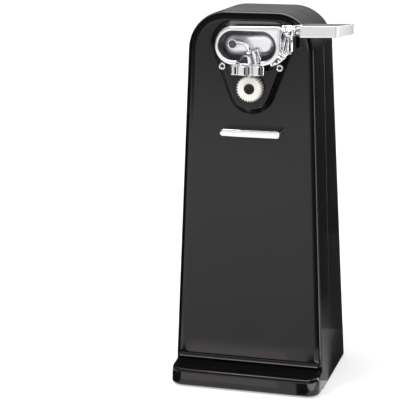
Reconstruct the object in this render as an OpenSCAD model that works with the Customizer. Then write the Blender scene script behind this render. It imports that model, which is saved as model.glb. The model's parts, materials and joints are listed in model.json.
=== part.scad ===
// Electric can opener: an upright two-shell housing on a moulded toe, with a lever-carried cutter over a
// toothed feed gear, a three-stage gear train and a shaded-pole motor inside.
// Millimetres, +Z up, front towards -Y. The origin is on the table, under the middle of the whole outline.
// Inside the file every module works from the housing: X = 0 is its middle plane, Y = 0 its front face.

/* [Housing] */
// Width of the housing at the table
base_w = 92; // [88:1:100]
// Width of the housing at the height of its top
top_w = 73.5; // [72:0.5:84]
// Height of the housing
body_h = 226.5; // [222:0.5:245]
// Radius of the two top corners
crown_r = 26; // [22:0.5:28]
// Depth of the front shell, from the front face to the parting line
front_depth = 28; // [24:1:30]
// Depth of the whole housing at the table
base_depth = 82.5; // [80:0.5:95]
// Depth of the whole housing at the top
top_depth = 63; // [62:0.5:75]
// Wall thickness of both shells
wall = 2.4; // [2:0.1:2.8]
// Radius along the edge of the front face
edge_r = 2.8; // [2:0.1:3.6]
// Radius along the rear edges
rear_r = 12; // [8:0.5:14]
// Gap between the table and the underside of the housing
foot_h = 1; // [0.8:0.1:3]

/* [Toe] */
// How far the toe reaches in front of the front face
toe_out = 13.7; // [10:0.1:18]
// Height of the toe at its front edge
toe_h = 11.2; // [9:0.1:14]
// Height at which the toe meets the front face
toe_top = 17; // [15:0.5:20]
// Radius of the toe's two front corners
toe_r = 8; // [6:0.5:11]

/* [Feed gear and shield] */
// Sideways offset of the feed gear from the middle plane
unit_x = 2; // [0:0.5:3]
// Distance of the feed gear's axis below the top of the housing
unit_drop = 43.3; // [42:0.1:46]
// Diameter over the feed gear's teeth
feed_d = 15.4; // [14:0.1:16]
// Number of teeth on the feed gear
feed_teeth = 28; // [22:1:32]
// Thickness of the feed gear
feed_w = 5.8; // [4:0.1:6]
// Sideways offset of the shield from the middle plane
shield_x = 1.2; // [0:0.1:3]
// How far the shield stands out from the front face
shield_h = 4.5; // [3.5:0.1:4.6]
// Width of the sloped border round the shield
shield_slope = 3.3; // [2:0.1:4]
// Length of the can rest bar
bar_l = 36; // [30:0.5:44]
// Height of the can rest bar
bar_h = 4.3; // [3:0.1:6]
// How far the can rest bar stands out
bar_out = 8.5; // [6:0.5:10]
// Distance between the two rim studs
stud_pitch = 34; // [33:0.5:37]

/* [Lever] */
// Sideways position of the lever's pivot
pivot_x = -5; // [-6:0.1:-4.5]
// Distance of the lever's pivot below the top of the housing
pivot_drop = 17.5; // [17:0.1:18.5]
// Distance from the front face to the lever's front face
lever_out = 20; // [19.5:0.1:22]
// Height of the round-ended lever plate
plate_h = 22; // [21:0.1:23]
// Length of the lever plate
plate_l = 38.4; // [37:0.1:40]
// Sideways position of the handle's tip
tip_x = 61.3; // [56:0.1:66]
// Height of the handle
handle_h = 6.4; // [5:0.1:8]
// Depth of the oval dish in the lever plate
dish_depth = 8; // [6:0.1:8.5]

/* [Cutter and magnet] */
// Width of the guard below the lever plate
guard_w = 19.8; // [16:0.1:21]
// Height of the guard
guard_h = 6; // [5:0.1:6.4]
// Thickness of the piercing blade
blade_t = 1.2; // [0.8:0.1:1.3]
// Wire radius of the magnet's arm
arm_r = 1.2; // [1:0.05:1.3]
// Radius of the magnet's cup
cup_r = 2.8; // [2.4:0.1:3]

/* [Gear train] */
// Teeth on each small gear
small_teeth = 12; // [12:1:13]
// Teeth on the large gear of the two idlers
idler_teeth = 42; // [40:1:42]
// Teeth on the gear of the drive shaft
drive_teeth = 44; // [42:1:44]
// Tooth module of the first two stages
fine_mod = 0.8; // [0.75:0.01:0.8]
// Tooth module of the last stage
coarse_mod = 1; // [0.95:0.01:1]
// Width of the fine gears
fine_w = 4.5; // [3.5:0.1:4.6]
// Width of the coarse gears
coarse_w = 7; // [5:0.1:7.1]

/* [Motor] */
// Width of the laminated core
core_w = 56; // [52:0.5:58]
// Thickness of the stack of laminations
stack_t = 18; // [14:0.5:18.5]
// Diameter of the rotor
rotor_d = 23.8; // [20:0.1:25]
// Air gap round the rotor
air_gap = 0.4; // [0.3:0.05:0.8]

/* [Fits] */
// Radial clearance of a turning or sliding fit
run = 0.05; // [0.02:0.01:0.08]
// Radial clearance of a fastener in its hole
loose = 0.1; // [0.05:0.05:0.2]

/* [Hidden] */
$fn = 64;
eps = 0.01;

// Housing shape
side_slope = (base_w - top_w) / 2 / body_h;
side_ang = atan(side_slope);
back_slope = (base_depth - top_depth) / body_h;
back_ang = atan(back_slope);
crown_steps = 10;
face_clear = 0.7;

// Heights hung from the top of the housing
unit_z = body_h - unit_drop;
pivot_z = body_h - pivot_drop;
bar_z = unit_z - 26.5;
stud_z = unit_z + 12.2;
lever_top = pivot_z + 11.4;
guard_top = pivot_z - plate_h / 2;

// Lever depths, measured forwards from the front face
lever_back = shield_h + face_clear;
web_out = 12;
plate_x = pivot_x - plate_h / 2;
handle_x = 33;

// Magnet hinge
hinge_x = unit_x + 1;
hinge_z = guard_top + 7.2;
hinge_out = 15.5;
hinge_r = 1.5;
pin_r = 0.6;
cup_x = hinge_x - 6.3 - cup_r;
cup_z = hinge_z + 4.6;

// Fixings
screw_r = 1.5;
boss_r = 4.4;
screw_pts = [[-28, body_h - 29.5], [28, body_h - 29.5], [-34, 26], [34, 26]];
screw_head_y = front_depth + 10;
foot_pts = [[-34, 2], [34, 2], [-33, 66], [33, 66]];
foot_r = 6;
base_t = 2.2;

// Gear train: each axis is straight below the last
idler2_z = unit_z - (small_teeth + drive_teeth) / 2 * coarse_mod;
idler1_z = idler2_z - (small_teeth + idler_teeth) / 2 * fine_mod;
motor_z = idler1_z - (small_teeth + idler_teeth) / 2 * fine_mod;
plate_t = 1.5;
plate_y = 10;
stage_gap = 0.5;
drive_y = plate_y + plate_t + stage_gap;
stage2_y = drive_y + coarse_w + 2 * stage_gap;
stage1_y = stage2_y + fine_w + 2 * stage_gap;
rear_plate_y = max(35, stage1_y + fine_w + 4);
axle_r = 2;
hub_r = 3.6;
shaft_r = 3;
pressure_ang = 25;
tooth_thin = 0.12;
bolt_pts = [[-17, pivot_z - 0.5], [17, pivot_z - 0.5], [-18, motor_z - 15], [18, motor_z - 15]];
pillar_r = 3;

// Motor
core_y = rear_plate_y + 5;
rotor_r = rotor_d / 2;
core_top = motor_z + 20;
bar_low = motor_z - 44;
bar_high = bar_low + 14;
window_w = 28;
coil_w = 26.8;
coil_wrap = 8;
motor_bolt_x = core_w / 2 - 7;
bracket_t = 2;

// Switch
switch_x = pivot_x + 7;
cam_drop = 4;
plunger_r = 1.5;
cam_gap = 0.3;
switch_top = pivot_z - 8.5;
bushing_r = 6;

// Cord gland on the sloping back
gland_z = 30;
gland_r = 5.4;
gland_out = 1.6;
cord_r = 3.6;

base_gap = 0.4;

// Shift that brings the middle of the whole object to X = 0, Y = 0
body_x = -(tip_x - side_x(foot_h)) / 2;
body_y = -(max(back_y(foot_h), back_y(gland_z - gland_r - 2) + gland_out) - lever_out) / 2;

black = [0.03, 0.03, 0.035];
dark = [0.12, 0.12, 0.12];
chrome = [0.82, 0.83, 0.85];
steel = [0.62, 0.63, 0.65];
cream = [0.86, 0.84, 0.78];
nylon = [0.92, 0.91, 0.86];
brass = [0.78, 0.62, 0.3];
copper = [0.72, 0.4, 0.2];
rubber = [0.08, 0.08, 0.08];

// Half width of the housing at a height
function side_x(z) = base_w / 2 - side_slope * z;
// Depth of the sloping back at a height
function back_y(z) = base_depth - back_slope * z;

// Front view of the housing, moved in by an inset, standing on z0
function tomb(inset, z0) =
    let (r = crown_r - inset, zc = body_h - inset - r,
         xc = side_x(zc) - inset / cos(side_ang) - r / cos(side_ang),
         half = concat([[side_x(z0) - inset / cos(side_ang), z0]],
             [for (i = [0 : crown_steps])
                 let (a = side_ang + (90 - side_ang) * i / crown_steps)
                 [xc + r * cos(a), zc + r * sin(a)]]))
    concat(half, [for (i = [len(half) - 1 : -1 : 0]) [-half[i][0], half[i][1]]]);

// Involute tooth half angle at a radius
function inv_deg(rb, r) = r <= rb ? 0 : let (a = acos(rb / r)) tan(a) * 180 / PI - a;
function half_ang(n, m, r) =
    let (rp = n * m / 2, rb = rp * cos(pressure_ang))
    (PI * m / 2 - tooth_thin) / 2 / rp * 180 / PI + inv_deg(rb, rp) - inv_deg(rb, r);

// Closed outline of an involute gear whose first tooth points along +X
function gear_pts(n, m) =
    let (rp = n * m / 2, rb = rp * cos(pressure_ang), rf = rp - 1.05 * m, ra = rp + 0.8 * m,
         rs = max(rb, rf + 0.02),
         radii = [rf, rs, rs + (ra - rs) * 0.35, rs + (ra - rs) * 0.7, ra])
    [for (i = [0 : n - 1], s = [-1, 1], k = [0 : 4])
        let (r = radii[s < 0 ? k : 4 - k], a = i * 360 / n + s * half_ang(n, m, r))
        [r * cos(a), r * sin(a)]];

// Moves a piece from the housing's own axes to the frame of the whole object
module placed() translate([body_x, body_y, 0]) children();

// A rod along Y from y0 to y1
module rod(x, z, r, y0, y1) translate([x, y1, z]) rotate([90, 0, 0]) cylinder(r = r, h = y1 - y0);

// A ring along Y
module ring(x, z, ro, ri, y0, y1) difference() {
    rod(x, z, ro, y0, y1);
    rod(x, z, ri, y0 - 1, y1 + 1);
}

// A flat outline in X and Z, thickened from y0 to y1
module slab(y0, y1) translate([0, y1, 0]) rotate([90, 0, 0]) linear_extrude(y1 - y0) children();

// The same, but leaning with the back of the housing
module leaning_slab(drop) multmatrix([[1, 0, 0, 0], [0, 1, -back_slope, base_depth - drop], [0, 0, 1, 0]])
    slab(-eps, 0) children();

// A round-ended bar outline between two centres at one height
module stadium(xa, xb, z, r) {
    for (x = [xa, xb]) translate([x, z]) circle(r = r);
    translate([xa, z - r]) square([xb - xa, 2 * r]);
}

// A rectangle with rounded corners, from its low corner
module round_rect(x, z, w, h, r) {
    translate([x + r, z]) square([w - 2 * r, h]);
    translate([x, z + r]) square([w, h - 2 * r]);
    for (cx = [x + r, x + w - r], cz = [z + r, z + h - r]) translate([cx, cz]) circle(r = r);
}

module gear(n, m, y0, y1, turn) translate([0, y1, 0]) rotate([90, 0, 0]) rotate(turn)
    linear_extrude(y1 - y0) polygon(gear_pts(n, m));

module front_solid(inset, z0, y0, y1) hull() {
    slab(y0, y0 + eps) polygon(tomb(inset + edge_r, z0));
    slab(y0 + 0.29 * edge_r, y0 + 0.29 * edge_r + eps) polygon(tomb(inset + 0.29 * edge_r, z0));
    slab(y0 + edge_r, y1) polygon(tomb(inset, z0));
}

module toe_solid(inset, z0) hull() {
    for (s = [-1, 1]) translate([s * (side_x(z0 + 1) - toe_r), toe_r - toe_out, 0]) {
        translate([0, 0, z0]) cylinder(r = toe_r - inset, h = toe_h - inset - 1 - z0, $fn = 32);
        translate([0, 0, z0]) cylinder(r = toe_r - inset - 1, h = toe_h - inset - z0, $fn = 32);
    }
    translate([0, 0, z0]) linear_extrude(toe_top - inset - z0)
        translate([-side_x(toe_top) + inset, -1 + inset]) square([2 * side_x(toe_top) - 2 * inset, 5]);
    translate([0, 0, z0]) linear_extrude(eps)
        translate([-side_x(z0) + inset, -1 + inset]) square([2 * side_x(z0) - 2 * inset, 5]);
}

module front_housing() color(black) difference() {
    union() {
        difference() {
            front_solid(0, foot_h, 0, front_depth);
            front_solid(wall, -1, wall, front_depth + 1);
        }
        for (p = bolt_pts) rod(unit_x + p[0], p[1], 3.5, wall - 0.5, plate_y);
        for (p = screw_pts) rod(p[0], p[1], boss_r - 1, wall - 0.5, front_depth);
    }
    for (p = bolt_pts) rod(unit_x + p[0], p[1], screw_r + loose, wall + 1, plate_y + 1);
    for (p = screw_pts) rod(p[0], p[1], screw_r + loose, wall + 1, front_depth + 1);
    rod(unit_x, unit_z, bushing_r - 1 + loose, -1, wall + 1);
    rod(pivot_x, pivot_z, bushing_r + loose, -1, wall + 1);
    for (s = [-1, 1]) rod(unit_x + s * bar_l / 3, bar_z, screw_r + loose, -1, wall + 1);
    translate([wall - side_x(0), -1, 0]) cube([2 * (side_x(0) - wall), wall + edge_r + 1, foot_h + base_t + base_gap]);
}

// Stepped toe in front of the face, open behind and below
module toe_cover() color(black) difference() {
    toe_solid(0, foot_h);
    toe_solid(wall, -1);
    front_solid(0, -1, 0, front_depth);
    translate([-base_w, edge_r / 2, -1]) cube([2 * base_w, toe_out, 2 * toe_top]);
}

// Rear half of the housing moved in by an inset, as rings of outline points from y0 to the sloping back
module rear_solid(inset, z0, y0) {
    rings = concat([[for (p = tomb(inset, z0)) [p[0], y0, p[1]]]],
        [for (a = [0 : 22.5 : 90]) let (d = base_depth - rear_r + (rear_r - inset) * sin(a))
            [for (p = tomb(rear_r - (rear_r - inset) * cos(a), z0)) [p[0], d - back_slope * p[1], p[1]]]]);
    n = len(rings[0]);
    last = len(rings) - 1;
    polyhedron([for (r = rings) for (p = r) p], concat(
        [[for (i = [n - 1 : -1 : 0]) i], [for (i = [0 : n - 1]) last * n + i]],
        [for (j = [0 : last - 1]) for (i = [0 : n - 1]) let (a = j * n + i, b = j * n + (i + 1) % n)
            each [[a, b, b + n], [a, b + n, a + n]]]));
}

// Places something on the sloping back at the cord gland, with +Y straight out of the back
module at_gland() translate([0, back_y(gland_z), gland_z]) rotate([back_ang, 0, 0]) children();

module rear_housing() color(black) difference() {
    union() {
        difference() {
            rear_solid(0, foot_h, front_depth);
            rear_solid(wall, -1, front_depth - 1);
        }
        intersection() {
            union() for (p = screw_pts) rod(p[0], p[1], boss_r, front_depth, base_depth);
            rear_solid(wall / 2, foot_h, front_depth);
        }
    }
    for (p = screw_pts) {
        rod(p[0], p[1], screw_r + loose, front_depth - 1, screw_head_y + 1);
        rod(p[0], p[1], 3.4, screw_head_y, base_depth);
    }
    for (i = [0 : 5]) translate([-17, 0, motor_z - 12 + 6 * i]) cube([34, base_depth, 2.4]);
    at_gland() rod(0, 0, gland_r + loose, -9, 9);
}

module base_plate() color(dark) difference() {
    translate([0, 0, foot_h]) linear_extrude(base_t) {
        round_rect(wall + base_gap - side_x(0), wall, 2 * (side_x(0) - wall - base_gap),
            base_depth - 2 * (wall + base_gap), rear_r);
        round_rect(wall + base_gap - side_x(0), wall + base_gap - toe_out, 2 * (side_x(0) - wall - base_gap),
            base_depth / 3, toe_r - wall);
    }
    for (p = foot_pts) translate([p[0], p[1], 0]) cylinder(r = 2 + loose, h = 9);
    for (i = [0 : 4]) translate([-16, 20 + 8 * i, 0]) cube([32, 2.4, 9]);
}

module foot(i) color(rubber) translate([foot_pts[i][0], foot_pts[i][1], 0]) {
    cylinder(r = foot_r, h = foot_h);
    cylinder(r = 2, h = foot_h + base_t);
}

module housing_screw(i) color(steel) difference() {
    union() {
        rod(screw_pts[i][0], screw_pts[i][1], screw_r, front_depth - 12, screw_head_y);
        rod(screw_pts[i][0], screw_pts[i][1], 2.8, screw_head_y, screw_head_y + 2.2);
    }
    for (a = [0, 90]) translate([screw_pts[i][0], screw_head_y + 2.3, screw_pts[i][1]]) rotate([0, a, 0])
        cube([3.6, 2.4, 0.9], center = true);
}

module shield_outline(inset) hull() {
    for (s = [-1, 1]) translate([shield_x + s * 11.2, pivot_z - 0.6]) circle(r = 13.4 - inset, $fn = 40);
    translate([shield_x, unit_z - 1.6]) circle(r = 14.5 - inset, $fn = 40);
}

module shield_plate() color(black) difference() {
    hull() {
        slab(-eps, 0) shield_outline(0);
        slab(-shield_h, -shield_h + eps) shield_outline(shield_slope);
    }
    rod(unit_x, unit_z, bushing_r - 1 + loose, -9, 1);
    rod(pivot_x, pivot_z, bushing_r + loose, -9, 1);
    for (s = [-1, 1]) rod(unit_x + s * stud_pitch / 2, stud_z, 1 + loose, -9, 1);
    rod(unit_x + 10.4, stud_z - 2.6, 0.4 + loose, -9, 1);
}

module rest_bar() color(chrome) {
    slab(-bar_out, 0) stadium(unit_x - bar_l / 2 + bar_h / 2, unit_x + bar_l / 2 - bar_h / 2, bar_z, bar_h / 2);
    for (s = [-1, 1]) rod(unit_x + s * bar_l / 3, bar_z, screw_r, 0, wall + 2);
}

module rim_stud(s) color(chrome) difference() {
    union() {
        rod(unit_x + s * stud_pitch / 2, stud_z, 2.05, -shield_h - 2.7, -shield_h);
        rod(unit_x + s * stud_pitch / 2, stud_z, 1, -shield_h, 0);
    }
    rod(unit_x + s * stud_pitch / 2, stud_z, 0.8, -shield_h - 4, -shield_h - 1.9);
}

module rim_wire() color(dark) {
    rod(unit_x + 10.4, stud_z - 2.6, 0.4, -shield_h - 1.4, 0);
    translate([unit_x + 10.4, -shield_h - 1, stud_z - 2.6]) rotate([0, 63, 0]) cylinder(r = 0.4, h = 4.2);
}

module cord_gland() color(rubber) at_gland() difference() {
    union() {
        rod(0, 0, gland_r, -wall - 2, gland_out);
        rod(0, 0, gland_r + 2, 0.1, gland_out);
        rod(0, 0, gland_r + 2, -wall - 2, -wall - 0.1);
    }
    rod(0, 0, cord_r, -9, 9);
}

module lever_bushing() color(brass) ring(pivot_x, pivot_z, bushing_r, 4 + run, -shield_h, wall + 0.2);

module drive_bushing() color(brass) ring(unit_x, unit_z, bushing_r - 1, shaft_r + run, -shield_h, wall + 1);

// Outline shared by the two gear plates: narrow above, wider beside the motor
module gear_plate_outline(low_z, wide) {
    round_rect(unit_x - 21.5, motor_z - 19.5, 43, pivot_z + 5 - motor_z + 19.5, 4);
    round_rect(unit_x - wide / 2, low_z, wide, 34, 4);
}

module front_gear_plate() color(steel) difference() {
    slab(plate_y, plate_y + plate_t) gear_plate_outline(motor_z - 19.5, 44);
    for (p = bolt_pts) rod(unit_x + p[0], p[1], screw_r + loose, 0, 20);
    for (z = [idler1_z, idler2_z]) rod(unit_x, z, axle_r, 0, 20);
    rod(unit_x, unit_z, shaft_r + run, 0, 20);
}

// The rear plate carries four pillars that hold the front plate at its distance
module rear_gear_plate() color(steel) difference() {
    union() {
        slab(rear_plate_y, rear_plate_y + plate_t) gear_plate_outline(motor_z - 19.5, core_w);
        for (p = bolt_pts) rod(unit_x + p[0], p[1], pillar_r, plate_y + plate_t, rear_plate_y + eps);
    }
    for (p = bolt_pts) rod(unit_x + p[0], p[1], screw_r + loose, 0, 50);
    for (s = [-1, 1]) rod(unit_x + s * motor_bolt_x, motor_z, 1.8 + loose, 20, 50);
    for (z = [idler1_z, idler2_z]) rod(unit_x, z, axle_r, 20, 50);
    rod(unit_x, unit_z, shaft_r + run, 20, 50);
    rod(unit_x, motor_z, 7, 20, 50);
}

module frame_bolt(i) color(steel) {
    rod(unit_x + bolt_pts[i][0], bolt_pts[i][1], screw_r, plate_y - 5, rear_plate_y + plate_t);
    rod(unit_x + bolt_pts[i][0], bolt_pts[i][1], 2.8, rear_plate_y + plate_t, rear_plate_y + plate_t + 2.2);
}

module idler_axle(z) color(steel) rod(unit_x, z, axle_r, plate_y, rear_plate_y + plate_t);

module motor_core() color(steel) difference() {
    slab(core_y, core_y + stack_t) round_rect(unit_x - core_w / 2, bar_low, core_w, core_top - bar_low, 3);
    rod(unit_x, motor_z, rotor_r + air_gap, 0, 90);
    translate([unit_x - window_w / 2, 0, bar_high]) cube([window_w, 90, motor_z - rotor_r - 4 - bar_high]);
    for (s = [-1, 1]) rod(unit_x + s * motor_bolt_x, motor_z, 1.8 + loose, 0, 90);
}

module coil_bobbin() color(nylon) translate([unit_x, core_y + stack_t / 2, (bar_low + bar_high) / 2]) difference() {
    union() {
        cube([coil_w, stack_t + 2, bar_high - bar_low + 2], center = true);
        for (s = [-1, 1]) translate([s * (coil_w / 2 - 0.6), 0, 0])
            cube([1.2, stack_t + 2 * coil_wrap - 1, bar_high - bar_low + 2 * coil_wrap], center = true);
    }
    cube([coil_w + 2, stack_t + 0.2, bar_high - bar_low + 0.2], center = true);
}

module coil_winding() color(copper) translate([unit_x, core_y + stack_t / 2, (bar_low + bar_high) / 2]) difference() {
    cube([coil_w - 2.6, stack_t + 2 * coil_wrap - 3, bar_high - bar_low + 2 * coil_wrap - 2], center = true);
    cube([coil_w + 2, stack_t + 2.1, bar_high - bar_low + 2.1], center = true);
}

// Bearing strap across the core; the bearing boss faces away from the rotor
module motor_bracket(y0, boss_y0, boss_y1, sleeve) color(steel) difference() {
    union() {
        slab(y0, y0 + bracket_t) stadium(unit_x - core_w / 2 + 7, unit_x + core_w / 2 - 7, motor_z, 7);
        rod(unit_x, motor_z, 5.5, boss_y0, boss_y1);
        if (sleeve) for (s = [-1, 1])
            rod(unit_x + s * motor_bolt_x, motor_z, 4, rear_plate_y + plate_t, y0 + eps);
    }
    rod(unit_x, motor_z, axle_r + run, 0, 90);
    for (s = [-1, 1]) rod(unit_x + s * motor_bolt_x, motor_z, 1.8 + loose, 0, 90);
}

module motor_bracket_front() motor_bracket(core_y - bracket_t, core_y - 3, core_y, true);

module motor_bracket_rear() motor_bracket(core_y + stack_t, core_y + stack_t, core_y + stack_t + 4, false);

module motor_bolt(s) color(steel) {
    rod(unit_x + s * motor_bolt_x, motor_z, 1.8, rear_plate_y, core_y + stack_t + bracket_t);
    rod(unit_x + s * motor_bolt_x, motor_z, 3.4, core_y + stack_t + bracket_t, core_y + stack_t + bracket_t + 2.6);
}

module switch_body() color(dark) difference() {
    translate([switch_x - 10, wall + 0.6, switch_top - 9.5]) cube([20, 6.2, 9.5]);
    translate([switch_x, wall + 3.7, switch_top - 8]) cylinder(r = plunger_r + run, h = 20);
}

module switch_plunger() color(nylon) translate([switch_x, wall + 3.7, switch_top - 6.5])
    cylinder(r = plunger_r, h = pivot_z - cam_drop - cam_gap - switch_top + 6.5);

module dish_cut() hull() {
    slab(-lever_out - eps, -lever_out) stadium_hull(17.5 / 2, 0);
    slab(-lever_out - 1, -lever_out - 1 + eps) stadium_hull(17.5 / 2, 0);
    slab(-lever_out + dish_depth - eps, -lever_out + dish_depth) stadium_hull(5.4, 0.6);
}

module stadium_hull(r, lower) for (x = [pivot_x - 0.5, plate_x + plate_l - 11.4])
    translate([x, pivot_z - lower]) circle(r = r, $fn = 40);

module lever_body() color(chrome) difference() {
    union() {
        slab(-lever_out, -lever_back) {
            stadium(pivot_x, plate_x + plate_l - plate_h / 2, pivot_z, plate_h / 2);
            translate([unit_x, pivot_z]) square([plate_x + plate_l - unit_x, lever_top - pivot_z]);
        }
        slab(-web_out, -lever_back) {
            translate([unit_x + 16, pivot_z - 3.6]) square([10, lever_top - pivot_z + 3.6]);
            translate([unit_x + 16, lever_top - handle_h]) square([handle_x - unit_x - 15, handle_h]);
        }
        translate([unit_x + 22.4, 0.9 - 15.5, pivot_z - 4.2]) rotate([0, 5.5, 0])
            cylinder(r1 = 3.1, r2 = 2.1, h = 8.6);
        translate([0, 0, lever_top - handle_h]) linear_extrude(handle_h) polygon([
            [handle_x, -lever_back], [handle_x, -lever_out], [tip_x - 7.4, -lever_out],
            [tip_x - 5.9, -lever_out + 1], [tip_x - 0.6, -lever_back - 2], [tip_x, -lever_back - 0.9],
            [tip_x - 0.5, -lever_back]]);
    }
    dish_cut();
    translate([unit_x - 7.8, -lever_out - 1, guard_top - 1]) cube([18.2, lever_out + 1 - web_out, 6]);
    rod(pivot_x, pivot_z, 4, -lever_out + dish_depth + 2.4, 0);
    rod(unit_x + 24, lever_top - 3.2, 2 + run, -web_out - 8, -web_out + 5);
}

module lever_shaft() color(steel) rod(pivot_x, pivot_z, 4, -lever_out + dish_depth + 2.4, plate_y - 1.6);

module lever_cam() color(steel) difference() {
    union() {
        rod(pivot_x, pivot_z, 5.5, wall + 1, plate_y - 2);
        translate([pivot_x, wall + 1.4, pivot_z - cam_drop]) cube([9.5, plate_y - wall - 3.8, 3]);
    }
    rod(pivot_x, pivot_z, 4, 0, 20);
}

module cutter_guard() color(chrome) difference() {
    translate([0, 0, guard_top - guard_h]) linear_extrude(guard_h)
        stadium(unit_x - guard_w / 2 + 4, unit_x + guard_w / 2 - 4, -hinge_out + 0.5, 4);
    translate([unit_x - 4, -web_out - blade_t - 0.4, guard_top - guard_h - 1]) cube([10, blade_t, guard_h - 0.5]);
}

module cutter_blade() color(steel) slab(-web_out - blade_t - 0.4, -web_out - 0.4) polygon([
    [unit_x - 4, guard_top - 1.5], [unit_x - 4, guard_top - guard_h], [unit_x - 0.4, guard_top - guard_h],
    [unit_x + 1.1, guard_top - guard_h - 2.6], [unit_x + 2.6, guard_top - guard_h],
    [unit_x + 6, guard_top - guard_h], [unit_x + 6, guard_top - 1.5]]);

module blade_mount() color(chrome) hull() {
    translate([unit_x - 7.4, -18.4, guard_top]) cube([10.7, 5.6, 0.4]);
    translate([unit_x - 3.2, -17.4, guard_top + 4.9]) cube([4.7, 3.6, 0.4]);
}

module arm_bracket() color(chrome) difference() {
    union() {
        translate([hinge_x + 2, -hinge_out - 1.8, hinge_z - 1.8]) cube([2, 3.6, 3.6]);
        slab(-hinge_out - 1.6, -hinge_out) polygon([[hinge_x + 2.2, hinge_z - 1], [hinge_x + 4, hinge_z - 1],
            [hinge_x + 5.6, guard_top], [hinge_x + 3.4, guard_top]]);
        slab(-hinge_out, -hinge_out + 1.6) polygon([[hinge_x + 3.4, hinge_z + 1.8], [hinge_x + 5, hinge_z + 1.4],
            [hinge_x + 8.4, guard_top], [hinge_x + 6.4, guard_top], [hinge_x + 3.4, hinge_z - 0.8]]);
    }
    translate([hinge_x - 5, -hinge_out, hinge_z]) rotate([0, 90, 0]) cylinder(r = pin_r, h = 20);
}

module magnet_pin() color(steel) translate([hinge_x - 1.4, -hinge_out, hinge_z]) rotate([0, 90, 0])
    cylinder(r = pin_r, h = 5.6);

module latch_button() color(chrome) {
    rod(unit_x + 24, lever_top - 3.2, 3.2, -16.6, -web_out - 1.2);
    translate([unit_x + 24, -16.6, lever_top - 3.2]) rotate([90, 0, 0]) rotate_extrude() intersection() {
        circle(r = 3.2);
        square(4);
    }
    rod(unit_x + 24, lever_top - 3.2, 2, -web_out - 1.2, -web_out + 3.4);
}

module magnet_arm() color(chrome) difference() {
    union() {
        translate([hinge_x - 1.4, -hinge_out, hinge_z]) rotate([0, 90, 0]) cylinder(r = hinge_r, h = 2.8);
        translate([hinge_x - 5.7, -hinge_out, hinge_z]) rotate([90, 0, 0]) rotate_extrude(angle = 90)
            translate([5.7, 0]) circle(r = arm_r);
        translate([hinge_x - 5.7, -hinge_out, hinge_z + 5.7]) rotate([0, -90, 0]) cylinder(r = arm_r, h = 1.1);
    }
    translate([hinge_x - 5, -hinge_out, hinge_z]) rotate([0, 90, 0]) cylinder(r = pin_r + run, h = 20);
    rod(cup_x, cup_z, cup_r, -hinge_out - 4, -hinge_out + 4);
}

module magnet_cup() color(chrome) difference() {
    rod(cup_x, cup_z, cup_r, -hinge_out - 2.6, -hinge_out + 1.4);
    rod(cup_x, cup_z, cup_r - 0.6, -hinge_out - 4, -hinge_out - 1.2);
}

module magnet_disc() color(cream)
    rod(cup_x, cup_z, cup_r - 0.6, -hinge_out - 2.4, -hinge_out - 1.2);

module feed_gear() color(cream) difference() {
    slab(-shield_h - 0.4 - feed_w, -shield_h - 0.4) translate([unit_x, unit_z])
        polygon([for (i = [0 : 2 * feed_teeth - 1]) let (r = feed_d / 2 - (i % 2), a = i * 180 / feed_teeth)
            [r * cos(a), r * sin(a)]]);
    rod(unit_x, unit_z, shaft_r, -20, 0);
}

module feed_screw() color(dark) {
    rod(unit_x, unit_z, 2.5, -shield_h - feed_w - 1, -shield_h - 0.4 - feed_w);
    rod(unit_x, unit_z, 1.2, -shield_h - 0.4 - feed_w, -shield_h - feed_w + 6);
}

module drive_shaft() color(steel) difference() {
    rod(unit_x, unit_z, shaft_r, -shield_h - 0.4 - feed_w, rear_plate_y + plate_t);
    rod(unit_x, unit_z, 1.2, -shield_h - 1 - feed_w, -shield_h - feed_w + 6);
}

module drive_gear() color(nylon) difference() {
    translate([unit_x, 0, unit_z]) {
        gear(drive_teeth, coarse_mod, drive_y, drive_y + coarse_w, -90);
        rod(0, 0, 6, drive_y, rear_plate_y - 0.4);
    }
    rod(unit_x, unit_z, shaft_r, 0, 60);
}

// Idler whose small gear drives upwards and whose large gear is driven from below
module idler(z, small_mod, small_y0, small_y1, large_y0) color(nylon) difference() {
    translate([unit_x, 0, z]) {
        gear(small_teeth, small_mod, small_y0, small_y1, 90 + 180 / small_teeth);
        gear(idler_teeth, fine_mod, large_y0, large_y0 + fine_w, -90);
        rod(0, 0, hub_r, plate_y + plate_t + 0.3, rear_plate_y - 0.3);
    }
    rod(unit_x, z, axle_r + run, 0, 60);
}

module upper_idler() idler(idler2_z, coarse_mod, drive_y, stage2_y, stage2_y);

module lower_idler() idler(idler1_z, fine_mod, stage2_y, stage1_y, stage1_y);

module motor_pinion() color(brass) difference() {
    translate([unit_x, 0, motor_z]) gear(small_teeth, fine_mod, stage1_y, rear_plate_y - 1, 90 + 180 / small_teeth);
    rod(unit_x, motor_z, axle_r, 0, 60);
}

module rotor_shaft() color(steel) rod(unit_x, motor_z, axle_r, stage1_y, core_y + stack_t + 8);

module rotor_core() color(steel) ring(unit_x, motor_z, rotor_r, axle_r, core_y + 1, core_y + stack_t - 1);

module motor_fan() color(dark) difference() {
    translate([unit_x, 0, motor_z]) {
        rod(0, 0, 4.5, core_y + stack_t + 4.6, core_y + stack_t + 8);
        rod(0, 0, 14, core_y + stack_t + 7, core_y + stack_t + 8);
        for (i = [0 : 5]) rotate([0, 60 * i, 0]) translate([4, core_y + stack_t + 5, -0.6]) cube([9.6, 2.2, 1.2]);
    }
    rod(unit_x, motor_z, axle_r, 0, 90);
}

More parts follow.
